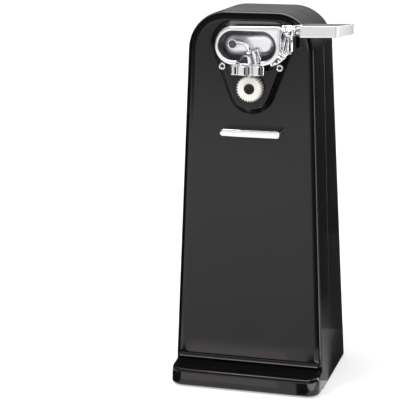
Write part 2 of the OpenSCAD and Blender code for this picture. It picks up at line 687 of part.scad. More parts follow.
placed() front_housing();
placed() toe_cover();
placed() rear_housing();
placed() base_plate();
placed() foot(0);  // foot_front_left
placed() foot(1);  // foot_front_right
placed() foot(2);  // foot_rear_left
placed() foot(3);  // foot_rear_right
placed() housing_screw(0);  // housing_screw_top_left
placed() housing_screw(1);  // housing_screw_top_right
placed() housing_screw(2);  // housing_screw_low_left
placed() housing_screw(3);  // housing_screw_low_right
placed() shield_plate();
placed() rest_bar();
placed() rim_stud(-1);  // rim_stud_left
placed() rim_stud(1);  // rim_stud_right
placed() rim_wire();
placed() cord_gland();
placed() lever_bushing();
placed() drive_bushing();
placed() front_gear_plate();
placed() rear_gear_plate();
placed() frame_bolt(0);  // frame_bolt_top_left
placed() frame_bolt(1);  // frame_bolt_top_right
placed() frame_bolt(2);  // frame_bolt_low_left
placed() frame_bolt(3);  // frame_bolt_low_right
placed() idler_axle(idler2_z);  // idler_axle_upper
placed() idler_axle(idler1_z);  // idler_axle_lower
placed() motor_core();
placed() coil_bobbin();
placed() coil_winding();
placed() motor_bracket_front();
placed() motor_bracket_rear();
placed() motor_bolt(-1);  // motor_bolt_left
placed() motor_bolt(1);  // motor_bolt_right
placed() switch_body();
placed() lever_body();
placed() lever_shaft();
placed() lever_cam();
placed() cutter_guard();
placed() cutter_blade();
placed() blade_mount();
placed() arm_bracket();
placed() magnet_pin();
placed() latch_button();
placed() magnet_arm();
placed() magnet_cup();
placed() magnet_disc();
placed() switch_plunger();
placed() feed_gear();
placed() feed_screw();
placed() drive_shaft();
placed() drive_gear();
placed() upper_idler();
placed() lower_idler();
placed() motor_pinion();
placed() rotor_shaft();
placed() rotor_core();
placed() motor_fan();
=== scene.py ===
# %% [markdown]
# # A table-top electric can opener
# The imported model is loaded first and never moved. It says where every piece sits, so the
# lesson builds smooth skins, castings and finishes around it, one cell at a time.

import json
import math

import bpy
import numpy as np
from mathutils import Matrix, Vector


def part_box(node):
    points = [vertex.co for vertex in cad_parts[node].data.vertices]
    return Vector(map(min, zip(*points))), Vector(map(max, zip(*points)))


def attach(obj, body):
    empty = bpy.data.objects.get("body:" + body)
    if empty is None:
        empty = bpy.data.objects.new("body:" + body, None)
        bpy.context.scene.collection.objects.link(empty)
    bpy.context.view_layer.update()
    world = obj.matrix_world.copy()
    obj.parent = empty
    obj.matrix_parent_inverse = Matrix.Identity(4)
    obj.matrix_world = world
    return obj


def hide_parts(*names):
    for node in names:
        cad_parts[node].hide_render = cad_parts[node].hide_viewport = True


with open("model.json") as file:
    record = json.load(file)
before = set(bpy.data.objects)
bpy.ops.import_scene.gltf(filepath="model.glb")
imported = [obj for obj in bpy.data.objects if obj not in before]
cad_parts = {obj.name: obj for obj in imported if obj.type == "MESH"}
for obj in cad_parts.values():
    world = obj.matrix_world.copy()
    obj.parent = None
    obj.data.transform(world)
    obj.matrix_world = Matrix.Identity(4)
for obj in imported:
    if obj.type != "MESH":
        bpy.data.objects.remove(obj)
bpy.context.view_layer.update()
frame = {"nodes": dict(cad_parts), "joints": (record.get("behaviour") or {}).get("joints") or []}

# %% [markdown]
# ## Measures
# Shapes are worked out in millimetres, from the middle plane of the housing (x = 0), its
# front face (y = 0, the user stands at minus y) and the table (z = 0). The model's own boxes
# and joints give the place of everything, so a change of size there moves the skins as well.

# %% Read the measures
MM = 0.001
front_low, front_high = (np.array(c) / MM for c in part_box("front_housing"))
shift = np.array([(front_low[0] + front_high[0]) / 2, front_low[1], 0.0])


def node_box(name):
    """Corners of a node in millimetres, counted from the housing's middle and front face."""
    low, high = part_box(name)
    return np.array(low) / MM - shift, np.array(high) / MM - shift


def node_centre(name):
    """Middle of a node's box in the same millimetres."""
    low, high = node_box(name)
    return (low + high) / 2


def half_width(name):
    """Half a node's size across, which is the radius of a turned one."""
    low, high = node_box(name)
    return (high[0] - low[0]) / 2


def joint_place(name):
    """Place of a joint in the same millimetres."""
    for joint in frame["joints"]:
        if joint["name"] == name:
            return np.array(joint["pos_m"]) / MM - shift
    raise KeyError(name)


top_z, foot_z = front_high[2], front_low[2]
half_base = (front_high[0] - front_low[0]) / 2
part_y = front_high[1] - shift[1]
back_y = node_box("rear_housing")[1][1]
pivot = joint_place("lever_hinge")
feed = joint_place("drive_spin")
print("housing height", top_z, "half width", half_base, "parting at", part_y, "back at", back_y)
print("lever pivot", pivot, "feed gear centre", feed)

# %% [markdown]
# ## From rings to meshes
# A moulded shell is a stack of closed rings, each with the same number of points: the loft
# joins them with quads. The winding is checked by the enclosed volume, so the faces always
# point outwards.

# %% Mesh helpers
def make_piece(name, points, faces, sharp_deg=34.0):
    """Puts points in housing millimetres into a new mesh object, smooth up to an edge angle."""
    mesh = bpy.data.meshes.new(name)
    mesh.from_pydata(((points + shift) * MM).tolist(), [], faces)
    mesh.validate()
    mesh.shade_smooth()
    mesh.set_sharp_from_angle(angle=math.radians(sharp_deg))
    piece = bpy.data.objects.new(name, mesh)
    bpy.context.scene.collection.objects.link(piece)
    return piece


def loft(rings, closed=False):
    """Joins rings of equal length with quads. An open stack gets a cap at both ends, a closed
    one joins its last ring to its first. Six times the enclosed volume is the sum of the
    triple products of the fan triangles; a negative sum turns the faces round."""
    rings = np.asarray(rings, dtype=float)
    count, size, _ = rings.shape
    points = rings.reshape(-1, 3)
    row, col = np.meshgrid(np.arange(count if closed else count - 1), np.arange(size), indexing="ij")
    beside, above = (col + 1) % size, (row + 1) % count
    quads = np.stack([row * size + col, row * size + beside, above * size + beside, above * size + col], -1)
    quads = quads.reshape(-1, 4)
    a, b, c, d = (points[quads[:, k]] for k in range(4))
    volume = (a * (np.cross(b, c) + np.cross(c, d))).sum()
    faces = quads.tolist()
    if not closed:
        first, last = list(range(size))[::-1], list(range((count - 1) * size, count * size))
        for cap in (first, last):
            ring = points[cap]
            volume += (ring[0] * np.cross(ring[1:-1] - ring[0], ring[2:] - ring[0])).sum()
        faces += [first, last]
    if volume < 0:
        faces = [face[::-1] for face in faces]
    return points, faces


def join_shapes(*shapes):
    """Several closed shapes in one mesh: points one after another, faces renumbered."""
    points, faces, offset = [], [], 0
    for p, f in shapes:
        points.append(p)
        faces += [[i + offset for i in face] for face in f]
        offset += len(p)
    return np.vstack(points), faces


def swap_mesh(piece, mesh):
    """Gives a piece another mesh under its own name and drops the old one."""
    old, piece.data = piece.data, mesh
    bpy.data.meshes.remove(old)
    mesh.name = piece.name


def cut(piece, *cutters):
    """Subtracts closed cutters from a piece and keeps the result as plain mesh."""
    for points, faces in cutters:
        cutter = make_piece("cutter", points, faces)
        step = piece.modifiers.new("cut", "BOOLEAN")
        step.operation, step.solver, step.object = "DIFFERENCE", "EXACT", cutter
        graph = bpy.context.evaluated_depsgraph_get()
        mesh = bpy.data.meshes.new_from_object(piece.evaluated_get(graph))
        piece.modifiers.clear()
        swap_mesh(piece, mesh)
        bpy.data.objects.remove(cutter)
    piece.data.shade_smooth()
    piece.data.set_sharp_from_angle(angle=math.radians(34.0))


def add_to(piece, *shapes):
    """Adds closed shapes to a finished mesh, point by point after its own."""
    own = np.zeros(len(piece.data.vertices) * 3)
    piece.data.vertices.foreach_get("co", own)
    faces = [list(face.vertices) for face in piece.data.polygons]
    points, faces = join_shapes((own.reshape(-1, 3) / MM - shift, faces), *shapes)
    grown = make_piece(piece.name + "_whole", points, faces)
    mesh = grown.data
    bpy.data.objects.remove(grown)
    swap_mesh(piece, mesh)


def finish_piece(piece, body, material, slot, *nodes):
    """Gives a piece its finish, lets it ride on its body and hides the nodes it stands for."""
    piece.data.materials.clear()
    piece.data.materials.append(material)
    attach(piece, body)
    if nodes:
        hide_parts(*nodes)
    print(piece.name, "has", len(piece.data.polygons), "faces")


def add_piece(name, shape, sharp_deg, *look):
    """Makes a piece from one shape and finishes it: body, material, slot (not used), nodes."""
    finish_piece(make_piece(name, *shape, sharp_deg=sharp_deg), *look)


# %% [markdown]
# ## Outlines
# A ring is drawn flat and then stood up at a depth, a height or a place across. The rounded
# box is four quarter arcs, so an inset only shrinks the radii and the rings stay matched point
# by point. The housing's own outline is a tapering tombstone: straight leaning sides, an arc
# over each shoulder, a flat crown.

# %% Outline helpers
def at_depth(outline, y):
    """Stands a flat x, z outline up at one depth, or each point at its own."""
    return np.stack([outline[:, 0], np.broadcast_to(y, len(outline)), outline[:, 1]], -1)


def at_height(plan, z):
    """Lays a flat x, y plan at one height, or each point at its own."""
    return np.column_stack([plan, np.broadcast_to(z, len(plan))])


def at_width(section, x):
    """Stands a flat y, z section up at one place across."""
    return np.column_stack([np.full(len(section), x), section])


def full_turn(steps):
    """Angles of a whole turn in equal steps."""
    return np.linspace(0, 2 * math.pi, steps, endpoint=False)


def circle(u, v, r, steps):
    """Flat outline of a circle; r may differ from point to point."""
    turn = full_turn(steps)
    return np.stack([u + r * np.cos(turn), v + r * np.sin(turn)], -1)


def quarter_box(x0, x1, z0, z1, radii, steps):
    """Points of a box with four corner radii, round against the clock: corner centre plus
    radius times (cos a, sin a) over a quarter turn each."""
    low_left, low_right, high_right, high_left = radii
    corners = (
        (x1 - low_right, z0 + low_right, low_right, -90),
        (x1 - high_right, z1 - high_right, high_right, 0),
        (x0 + high_left, z1 - high_left, high_left, 90),
        (x0 + low_left, z0 + low_left, low_left, 180),
    )
    arcs = []
    for cx, cz, r, start in corners:
        turn = math.radians(start) + np.radians(np.linspace(0, 90, steps + 1))
        arcs.append(np.stack([cx + r * np.cos(turn), cz + r * np.sin(turn)], -1))
    return np.vstack(arcs)


def rolled(a, b, steps=7, first="depth"):
    """Quarter ellipse from a to b, both (inset, depth); it leaves a along the depth, or along
    the inset."""
    turn = np.linspace(0, math.pi / 2, steps)
    fast, slow = np.sin(turn), 1 - np.cos(turn)
    one, two = (slow, fast) if first == "depth" else (fast, slow)
    return [(a[0] + (b[0] - a[0]) * s, a[1] + (b[1] - a[1]) * t) for s, t in zip(one, two)]


CROWN_R = 23.0
TOP_HALF = 36.75
side_slope = (half_base - TOP_HALF) / (top_z - foot_z)
side_tilt = math.atan(side_slope)


def side_at(z):
    """Half width of the housing at a height: a straight line from base to crown."""
    return half_base - side_slope * (z - foot_z)


def tombstone(inset, z0, low_r):
    """Front outline of the housing moved in by an inset and standing on z0, with rounded lower
    corners. Each shoulder arc starts square to the leaning side and ends level."""
    r = CROWN_R - inset
    zc = top_z - inset - r
    xc = side_at(zc) - (inset + r) / math.cos(side_tilt)
    arc = side_tilt + (math.pi / 2 - side_tilt) * np.linspace(0, 1, 28)
    shoulder = np.stack([xc + r * np.cos(arc), zc + r * np.sin(arc)], -1)
    sweep = np.linspace(-math.pi / 2, side_tilt, 9)
    low_x = side_at(z0 + low_r) - (inset + low_r) / math.cos(side_tilt)
    foot = np.stack([low_x + low_r * np.cos(sweep), z0 + low_r + low_r * np.sin(sweep)], -1)
    right = np.vstack([foot, shoulder])
    return np.vstack([right, right[::-1] * np.array([-1.0, 1.0])])


# %% [markdown]
# ## Camera
# The camera is made before the pieces, so every later cell can be looked at. It stands a
# little to the right of the opener and above it, with a long lens that keeps the sides of the
# tall housing nearly parallel.

# %% Camera
def set_looking(made, place, target):
    """Links a camera or lamp at a place and aims it at a target, both in housing millimetres."""
    spot, aim = ((np.array(p) + shift) * MM for p in (place, target))
    made.location = spot
    made.rotation_euler = Vector(aim - spot).to_track_quat("-Z", "Y").to_euler()
    bpy.context.scene.collection.objects.link(made)
    print(made.name, "stands at", spot.round(3), "and looks at", aim.round(3))


view = bpy.data.cameras.new("view")
view.lens, view.sensor_width, view.shift_y = 131.4, 36.0, -0.0010
camera = bpy.data.objects.new("view", view)
set_looking(camera, (202.8, -817.2, 306.7), (-30.24, 0.0, 113.95))
bpy.context.scene.camera = camera

# %% [markdown]
# ## Writing finishes as sums
# A finish is a small network of nodes. To keep it readable, one class wraps a socket, and the
# plus, minus and times signs add Math nodes. `Finish.node` makes any other node.

# %% Finish helpers
def math_node(operation, swapped=False, clamp=False):
    """A method that adds a Math node: a socket and another value, or the other way round."""
    def method(self, other=0.0):
        first, second = (other, self) if swapped else (self, other)
        return self.finish.node("ShaderNodeMath", {0: first, 1: second}, operation=operation,
                                use_clamp=clamp)
    return method


class Sock:
    """A node's output that can stand in sums and products."""

    def __init__(self, finish, socket):
        self.finish, self.socket = finish, socket

    __add__ = __radd__ = math_node("ADD")
    __mul__ = __rmul__ = math_node("MULTIPLY")
    __sub__, __rsub__ = math_node("SUBTRACT"), math_node("SUBTRACT", swapped=True)
    below = math_node("LESS_THAN")
    clamped = math_node("ADD", clamp=True)


class Finish:
    """A material, or the room, under construction: makes nodes and wires their sockets."""

    def __init__(self, name, holder=None, **constants):
        self.material = holder or bpy.data.materials.new(name)
        self.material.use_nodes = True
        self.tree = self.material.node_tree
        self.shader = self.tree.nodes["Background" if holder else "Principled BSDF"]
        for key, value in constants.items():
            self.shader.inputs[key.replace("_", " ")].default_value = value

    def node(self, kind, inputs=None, out=0, **settings):
        made = self.tree.nodes.new(kind)
        for key, value in settings.items():
            if key == "ramp":
                stops = made.color_ramp.elements
                while len(stops) < len(value):
                    stops.new(0.5)
                for stop, (place, grey) in zip(stops, value):
                    stop.position, stop.color = place, (grey, grey, grey, 1.0)
            else:
                setattr(made, key, value)
        for key, value in (inputs or {}).items():
            self.feed(made.inputs[key], value)
        return Sock(self, made.outputs[out])

    def feed(self, socket, value):
        if isinstance(value, Sock):
            self.tree.links.new(value.socket, socket)
        else:
            socket.default_value = value

    def set(self, **links):
        for key, value in links.items():
            self.feed(self.shader.inputs[key.replace("_", " ")], value)

    def surface(self, shader):
        """Makes a shader the whole look of the material."""
        self.feed(self.tree.nodes["Material Output"].inputs["Surface"], shader)

    def along(self, axis):
        """Place along one axis of the frame, in metres."""
        spot = self.node("ShaderNodeTexCoord", out="Object")
        return self.node("ShaderNodeSeparateXYZ", {"Vector": spot}, out=axis)

    def seen(self):
        """At least 1 for rays from the camera, or by way of gloss or glass, and 0 for others."""
        kinds = ("Is Camera Ray", "Is Glossy Ray", "Is Transmission Ray")
        first, second, third = (self.node("ShaderNodeLightPath", out=kind) for kind in kinds)
        return first + second + third

    def place(self, scale=(1, 1, 1)):
        """Object coordinates, in metres, stretched for a pattern."""
        spot = self.node("ShaderNodeTexCoord", out="Object")
        return self.node("ShaderNodeMapping", {"Vector": spot, "Scale": scale})

    def noise(self, scale, detail=2.0, stretch=(1, 1, 1), rough=0.5):
        """Smooth noise between 0 and 1; scale is lumps per metre."""
        return self.node("ShaderNodeTexNoise", {"Vector": self.place(stretch), "Scale": scale,
                                                "Detail": detail, "Roughness": rough}, out="Fac")

    def colours(self, amount, low, high):
        """Mixes two colours by an amount."""
        low, high = (value if isinstance(value, Sock) else value + (1.0,) for value in (low, high))
        return self.node("ShaderNodeMix", {"Factor": amount, 6: low, 7: high}, out=2, data_type="RGBA")

    def bump(self, height, strength, depth_mm):
        """Normal of a height pattern whose full swing is a depth in millimetres."""
        return self.node("ShaderNodeBump", {"Height": height, "Strength": strength,
                                            "Distance": depth_mm * MM})


# %% [markdown]
# ## Black finishes
# The housing is moulded in a satin black plastic: very dark in itself, so nearly all of what
# shows is a broad, soft reflection. Its roughness drifts slowly, as a polished mould wears, and
# the surface has a grain far finer than a millimetre. The shield behind the lever is the same
# plastic from a mirror-polished mould.

# %% Plastics and rubber
def moulded(name, low, high, rough, grain, grain_depth):
    """Plastic: colour drifts between low and high over 3 cm, roughness over 1 cm, and a fine
    grain gives the bump."""
    finish = Finish(name, IOR=1.43)
    cloud, wear, pits = finish.noise(34.0, 3.0), finish.noise(110.0, 4.0), finish.noise(grain, 3.0)
    finish.set(Base_Color=finish.colours(cloud, low, high),
               Roughness=(wear - 0.5) * 0.05 + (pits - 0.5) * 0.04 + rough,
               Normal=finish.bump(pits, 0.35, grain_depth))
    return finish.material


black_satin = moulded("satin_black_plastic", (0.0035, 0.0034, 0.0036), (0.0060, 0.0056, 0.0054),
                      0.13, 2600.0, 0.003)
black_gloss = moulded("polished_black_plastic", (0.0030, 0.0028, 0.0028), (0.0060, 0.0052, 0.0046),
                      0.10, 900.0, 0.003)
black_base = moulded("matt_black_plastic", (0.0100, 0.0100, 0.0105), (0.0170, 0.0165, 0.0160),
                     0.52, 1500.0, 0.030)
black_rubber = moulded("black_rubber", (0.012, 0.012, 0.012), (0.022, 0.021, 0.020), 0.72, 2000.0, 0.040)
white_nylon = moulded("white_nylon", (0.74, 0.72, 0.64), (0.84, 0.82, 0.75), 0.42, 1400.0, 0.015)
print("black and nylon finishes ready")

# %% [markdown]
# ## Metal finishes
# The lever group is die-cast zinc under bright chrome. Cast surfaces are never optically flat,
# so a slow, shallow wave bends the reflections; fine handling marks break up the gloss. Pressed
# steel shows long rolling streaks, and the feed gear is a pale sintered metal with fine pores.

# %% Metals
def metal(name, low, high, rough, wave_depth, streak=(1, 1, 1), fine=700.0, metallic=1.0):
    """Metal: colour and roughness drift with a stretched noise, a slow wave and fine marks give
    the bump."""
    finish = Finish(name, Metallic=metallic)
    slow, marks = finish.noise(60.0, 2.0), finish.noise(fine, 4.0, streak, 0.6)
    finish.set(Base_Color=finish.colours((slow * 0.5 + marks * 0.5).clamped(), low, high),
               Roughness=((marks - 0.5) * 0.06 + rough).clamped(),
               Normal=finish.bump(slow * 0.8 + marks * 0.08, 0.6, wave_depth))
    return finish.material


DISH_DEPTH = 0.008
INNER_HALF = 0.0092
INNER_END = 0.0125


def chrome_with_painted_dish_shade():
    """Chrome over the lever casting: bright outside; inside the dish the base colour is darkened as painted
    shade and reflection, standing in for the casting mirroring itself, and the roughness is higher there.
    A ramp over the depth behind the front face says how dark the painted shade is."""
    finish = Finish("chrome_with_painted_dish_shade", Metallic=1.0)
    slow, marks = finish.noise(60.0, 2.0), finish.noise(900.0, 4.0)
    depth = ((finish.along("Y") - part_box("lever_body")[0][1]) * (1 / DISH_DEPTH)).clamped()
    height = finish.along("Z") - pivot[2] * MM
    inside = finish.along("X").below(INNER_END) * (height * height).below(INNER_HALF ** 2)
    # Painted shade and reflection: the ramp darkens the dish wall's base colour towards (0.085, 0.085,
    # 0.10), where the chrome would mirror the dark casting.
    tone = finish.node("ShaderNodeValToRGB", {"Fac": depth},
                       ramp=[(0.0, 0.0), (0.05, 0.10), (0.13, 1.0), (0.78, 0.95), (0.93, 0.55),
                             (0.985, 0.12), (1.0, 0.0)])
    plated = finish.colours((slow * 0.5 + marks * 0.5).clamped(), (0.90, 0.90, 0.92), (0.98, 0.98, 0.99))
    finish.set(Base_Color=finish.colours(tone * inside, plated, (0.085, 0.085, 0.10)),
               Roughness=(marks - 0.5) * 0.06 + inside * 0.18 + 0.12,
               Normal=finish.bump(slow * 0.8 + marks * 0.08, 0.6, 0.008))
    return finish.material


def wound_copper():
    """Enamelled wire: a band pattern with one ridge per half millimetre of height."""
    finish = Finish("enamelled_copper", Metallic=0.85)
    turns = finish.node("ShaderNodeTexWave", {"Vector": finish.place(), "Scale": 640.0, "Distortion": 0.6,
                                              "Detail": 1.0, "Detail Scale": 0.5},
                        out="Fac", bands_direction="Z")
    tone = finish.noise(260.0, 3.0)
    shade = (turns * 0.6 + tone * 0.4).clamped()
    finish.set(Base_Color=finish.colours(shade, (0.22, 0.07, 0.03), (0.62, 0.26, 0.10)),
               Roughness=0.24 + tone * 0.16, Normal=finish.bump(turns, 0.8, 0.12))
    return finish.material


bright_chrome = metal("bright_chrome", (0.86, 0.86, 0.89), (0.96, 0.96, 0.98), 0.10, 0.008)
soft_chrome = metal("soft_chrome", (0.78, 0.78, 0.81), (0.90, 0.90, 0.93), 0.17, 0.008)
lever_chrome = chrome_with_painted_dish_shade()
feed_metal = metal("pale_sintered_metal", (0.70, 0.68, 0.62), (0.95, 0.93, 0.87), 0.45, 0.04,
                   fine=1800.0, metallic=0.35)
plain_steel = metal("rolled_steel", (0.42, 0.42, 0.43), (0.60, 0.60, 0.61), 0.30, 0.02, (1, 1, 9))
core_steel = metal("core_steel", (0.16, 0.16, 0.18), (0.30, 0.30, 0.32), 0.42, 0.02, (1, 14, 1))
turned_brass = metal("turned_brass", (0.62, 0.44, 0.17), (0.80, 0.60, 0.28), 0.26, 0.02)
dark_metal = metal("dark_oiled_steel", (0.030, 0.029, 0.028), (0.060, 0.058, 0.055), 0.32, 0.02)
magnet_face = metal("dark_magnet", (0.10, 0.10, 0.11), (0.20, 0.20, 0.21), 0.35, 0.02)
copper_wire = wound_copper()
print("metal finishes ready")

# %% [markdown]
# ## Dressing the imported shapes
# Motor, gears, bolts and switch are inside the housing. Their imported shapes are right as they
# are, so they only get a finish. The outer shapes get one too, for whatever is not replaced.

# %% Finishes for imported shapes
DRESS = (
    (black_base, ("base_plate", "switch_body", "motor_fan")),
    (black_rubber, ("foot_", "cord_gland")),
    (black_satin, ("front_housing", "toe_cover", "rear_housing")),
    (black_gloss, ("shield_plate",)),
    (white_nylon, ("coil_bobbin", "switch_plunger", "drive_gear", "upper_idler", "lower_idler")),
    (plain_steel, ("housing_screw_", "front_gear_plate", "rear_gear_plate", "frame_bolt_", "idler_axle_",
                   "motor_bracket_", "motor_bolt_", "lever_shaft", "lever_cam", "drive_shaft",
                   "rotor_shaft", "cutter_blade", "magnet_pin")),
    (core_steel, ("motor_core", "rotor_core")),
    (turned_brass, ("lever_bushing", "drive_bushing", "motor_pinion")),
    (copper_wire, ("coil_winding",)),
    (dark_metal, ("rim_wire", "feed_screw")),
    (magnet_face, ("magnet_disc",)),
    (feed_metal, ("feed_gear",)),
    (soft_chrome, ("rim_stud_",)),
    (bright_chrome, ("rest_bar", "cutter_guard", "blade_mount", "arm_bracket", "latch_button",
                     "magnet_arm", "magnet_cup", "lever_body")),
)
for name, packed in frame["nodes"].items():
    material = next(made for made, starts in DRESS if name.startswith(starts))
    for slot in packed.material_slots:
        slot.link = "OBJECT"
        slot.material = material
print("packed shapes dressed:", len(frame["nodes"]))

# %% [markdown]
# ## Turned and square shapes
# A few helpers serve the shells and the small parts: a profile turned about the depth axis,
# open or closed on itself, a straight rod, a block with rounded upright edges, and a profile
# whose depths are counted from one place.

# %% Turned and square shapes
def turned(x, z, profile, steps=56):
    """A solid turned about the depth axis: (radius, depth) rows from one end to the other."""
    return loft([at_depth(circle(x, z, r, steps), y) for r, y in profile])


def tube(x, z, profile, steps=40):
    """A turned ring with a closed profile of (radius, depth) pairs, carried round its axis."""
    return loft([at_depth(circle(x, z, r, steps), y) for r, y in profile], closed=True)


def rod(x, z, radius, y0, y1, steps=40):
    """A closed cylinder along the depth."""
    return turned(x, z, [(radius, y0), (radius, y1)], steps)


def block(x0, x1, y0, y1, z0, z1, radius=0.5):
    """A block with rounded upright edges."""
    plan = quarter_box(x0, x1, y0, y1, (radius,) * 4, 6)
    return loft([at_height(plan, z) for z in (z0, z1)])


def from_depth(y0, profile):
    """Counts the depths of a profile from one place."""
    return [(r, y0 + y) for r, y in profile]


print("a cylinder has", len(rod(0, 0, 1, 0, 1)[1]), "faces, a block", len(block(0, 1, 0, 1, 0, 1)[1]))

# %% [markdown]
# ## Front shell
# The real front shell is one moulding: leaning sides, a narrow rounded crest all round the
# front, and inside the crest a moat in which the face panel floats. It could be a box with
# bevels, but a loft of front outlines says it directly: each ring is the outline moved in by an
# inset and set at a depth. The same rings, run back inside, give the wall its thickness. Two
# more rings near the parting line keep the shading of the long sides flat.

# %% Front shell
WALL = 2.4
EDGE = 2.8
CREST_Z = 14.7
MOAT_Y = 1.5
SCREW_R = 1.65


def shell_rings():
    """Rings from the moat floor out over the crest, back along the side to the parting line,
    then forward inside the wall. Each row: inset, foot height, lower corner radius, depth."""
    rows = [
        (4.2, CREST_Z + 3.6, 1.2, MOAT_Y), (1.3, CREST_Z + 1.75, 1.6, MOAT_Y),
        (1.24, CREST_Z + 1.45, 1.6, 1.32), (1.05, CREST_Z + 0.45, 1.8, 0.24),
        (0.98, CREST_Z + 0.3, 2.0, 0.07), (0.88, CREST_Z + 0.15, 2.2, 0.0),
        (0.80, CREST_Z, 2.2, 0.03), (0.74, CREST_Z - 0.1, 2.4, 0.14),
    ]
    rows += [(0.74 - 0.56 * t, CREST_Z - 0.1 - 0.9 * t, 2.4 + t, 0.14 + 1.75 * t)
             for t in np.linspace(0.1, 1, 5)]
    rows += [
        (0.09, CREST_Z - 1.5, 4.0, 2.3), (0.02, CREST_Z - 2.0, 5.0, 2.68),
        (0, CREST_Z - 2.6, 7.0, EDGE + 0.1), (0, foot_z, 0.3, EDGE + 0.5),
        (0, foot_z, 0.3, part_y - 1.0), (0, foot_z, 0.3, part_y - 0.4),
        (0.06, foot_z, 0.3, part_y - 0.12), (0.25, foot_z, 0.3, part_y),
        (WALL, foot_z + 2, 0.3, part_y), (WALL, foot_z + 2, 0.3, 6.2),
        (WALL + 0.05, CREST_Z + 0.6, 0.3, 5.8), (WALL + 0.9, CREST_Z + 1.5, 0.3, 3.4),
        (WALL + 3, CREST_Z + 3.6, 0.3, WALL),
    ]
    return [at_depth(tombstone(inset, z0, low), y) for inset, z0, low, y in rows]


rest_low, rest_high = node_box("rest_bar")
rest_mid = node_centre("rest_bar")
stem_spots = [rest_mid[0] + side * (rest_high[0] - rest_low[0]) / 3 for side in (-1, 1)]
shaft_holes = [(pivot[0], pivot[2], 6.1), (feed[0], feed[2], 5.1)]
face_holes = join_shapes(*[rod(x, z, r, -1, 9) for x, z, r in shaft_holes],
                         *[rod(x, rest_mid[2], 1.6, -1, 9) for x in stem_spots])
corner_names = ("top_left", "top_right", "low_left", "low_right")
bolts, screws = ([node_centre(f"{kind}_{corner}") for corner in corner_names]
                 for kind in ("frame_bolt", "housing_screw"))
posts = [tube(p[0], p[2], [(r, 2.2), (r, end), (SCREW_R, end), (SCREW_R, 2.2)])
         for spots, r, end in ((bolts, 3.5, 10.0), (screws, 3.4, part_y)) for p in spots]
front_shell = make_piece("front_shell", *loft(shell_rings()))
inner_half = side_at(0) - WALL
cut(front_shell, face_holes, block(-inner_half, inner_half, -2, part_y + 1, -1, foot_z + 2.6))
add_to(front_shell, *posts)
finish_piece(front_shell, "body", black_satin, "housing_black", "front_housing")

# %% [markdown]
# ## Face panel
# The tall face is a separate satin panel set into the moat. Its edge rolls over gently, wider
# than it is deep, which is what makes the soft dark border all round the face.

# %% Face panel
PANEL_GAP = 1.45


def panel_rings():
    """Outline rings from the moat floor up the panel's edge, then over the border to the flat
    face. Across the 4.2 wide border the depth is 1.2 (1 - t) to the power 2.2, so the roll
    starts too softly to see and is steepest at the edge."""
    rows = [(PANEL_GAP, 1.2, MOAT_Y)]
    rows += [(PANEL_GAP + 4.2 * t, 1.2 + 1.6 * t, 1.2 * (1 - t) ** 2.2) for t in np.linspace(0, 1, 13)]
    rows += [(6.6, 3.0, 0.0)]
    return [at_depth(tombstone(inset, CREST_Z + 2.4 + (inset - PANEL_GAP) * 0.32, low), y)
            for inset, low, y in rows]


face_panel = make_piece("face_panel", *loft(panel_rings()))
cut(face_panel, face_holes)
finish_piece(face_panel, "body", black_satin, "housing_black")

# %% [markdown]
# ## Toe
# The toe is a low step in front of the face that keeps the opener from tipping forward under a
# heavy can. Its plan is a box with two rounded front corners; its top slopes from the face down
# to the front edge and rolls over into the walls. A height for every ring point does that.

# %% Toe
TOE_R = 8.0
TOE_FRONT_Z = 11.2
toe_out = -node_box("toe_cover")[0][1]


def toe_ring(inset, height, drop=0.0):
    """Plan of the toe moved in by an inset. Without a height it follows the sloping top, lowered
    by a drop; with one it lies flat. The sides lean like the housing's."""
    half = side_at(TOE_FRONT_Z - 2 if height is None else height) - inset
    corner = max(TOE_R - inset, 0.6)
    plan = quarter_box(-half, half, -toe_out + inset, 3.6 - inset, (corner, corner, 0.2, 0.2), 14)
    if height is None:
        top = TOE_FRONT_Z + (CREST_Z - 1.4 - TOE_FRONT_Z) * (plan[:, 1] + toe_out) / toe_out
        height = top - drop
        plan[:, 0] *= (side_at(height) - inset) / half
    return at_height(plan, height)


toe_rings = [toe_ring(inset, z) for inset, z in rolled((1.6, foot_z), (0, foot_z + 1.6), 8, "inset")]
toe_rings += [toe_ring(0, None, 2.2)]
toe_rings += [toe_ring(inset, None, drop) for inset, drop in rolled((0, 2.0), (2.0, 0), 8)]
toe_rings += [toe_ring(2.2, None), toe_ring(5.0, None)]
toe_step = make_piece("toe_step", *loft(toe_rings))
hollow = loft([toe_ring(WALL, -1.0), toe_ring(WALL, None, WALL), toe_ring(WALL + 2, None, WALL)])
cut(toe_step, hollow, block(-inner_half, inner_half, -1, 9, -1, foot_z + 2.6))
finish_piece(toe_step, "body", black_satin, "housing_black", "toe_cover")

# %% [markdown]
# ## Rear shell
# The rear shell carries the sides on behind a fine parting groove, then turns a generous radius
# into a back that leans forward. Its rings follow that lean: the depth of each point falls with
# its height. Louvres, screw wells and the cord's hole are cut after, as slides in a mould would
# leave them, and four bosses take the screws.

# %% Rear shell
BACK_SLOPE = 0.0861
REAR_R = 12.0
GLAND_Z, GLAND_HOLE_R = 30.0, 5.5
LOUVRES, LOUVRE_PITCH, LOUVRE_HEIGHT, LOUVRE_HALF = 6, 6.0, 2.4, 17.0
WELL_R, WELL_FLOOR = 3.4, 38.0


def back_at(z):
    """Depth of the leaning back at a height."""
    return back_y + BACK_SLOPE * (foot_z - z)


def rear_ring(inset, wall, fall, z0):
    """The outline set at the back's depth, less a wall and a fall towards the front."""
    outline = tombstone(inset, z0, 0.3)
    return at_depth(outline, back_at(outline[:, 1]) - wall - fall)


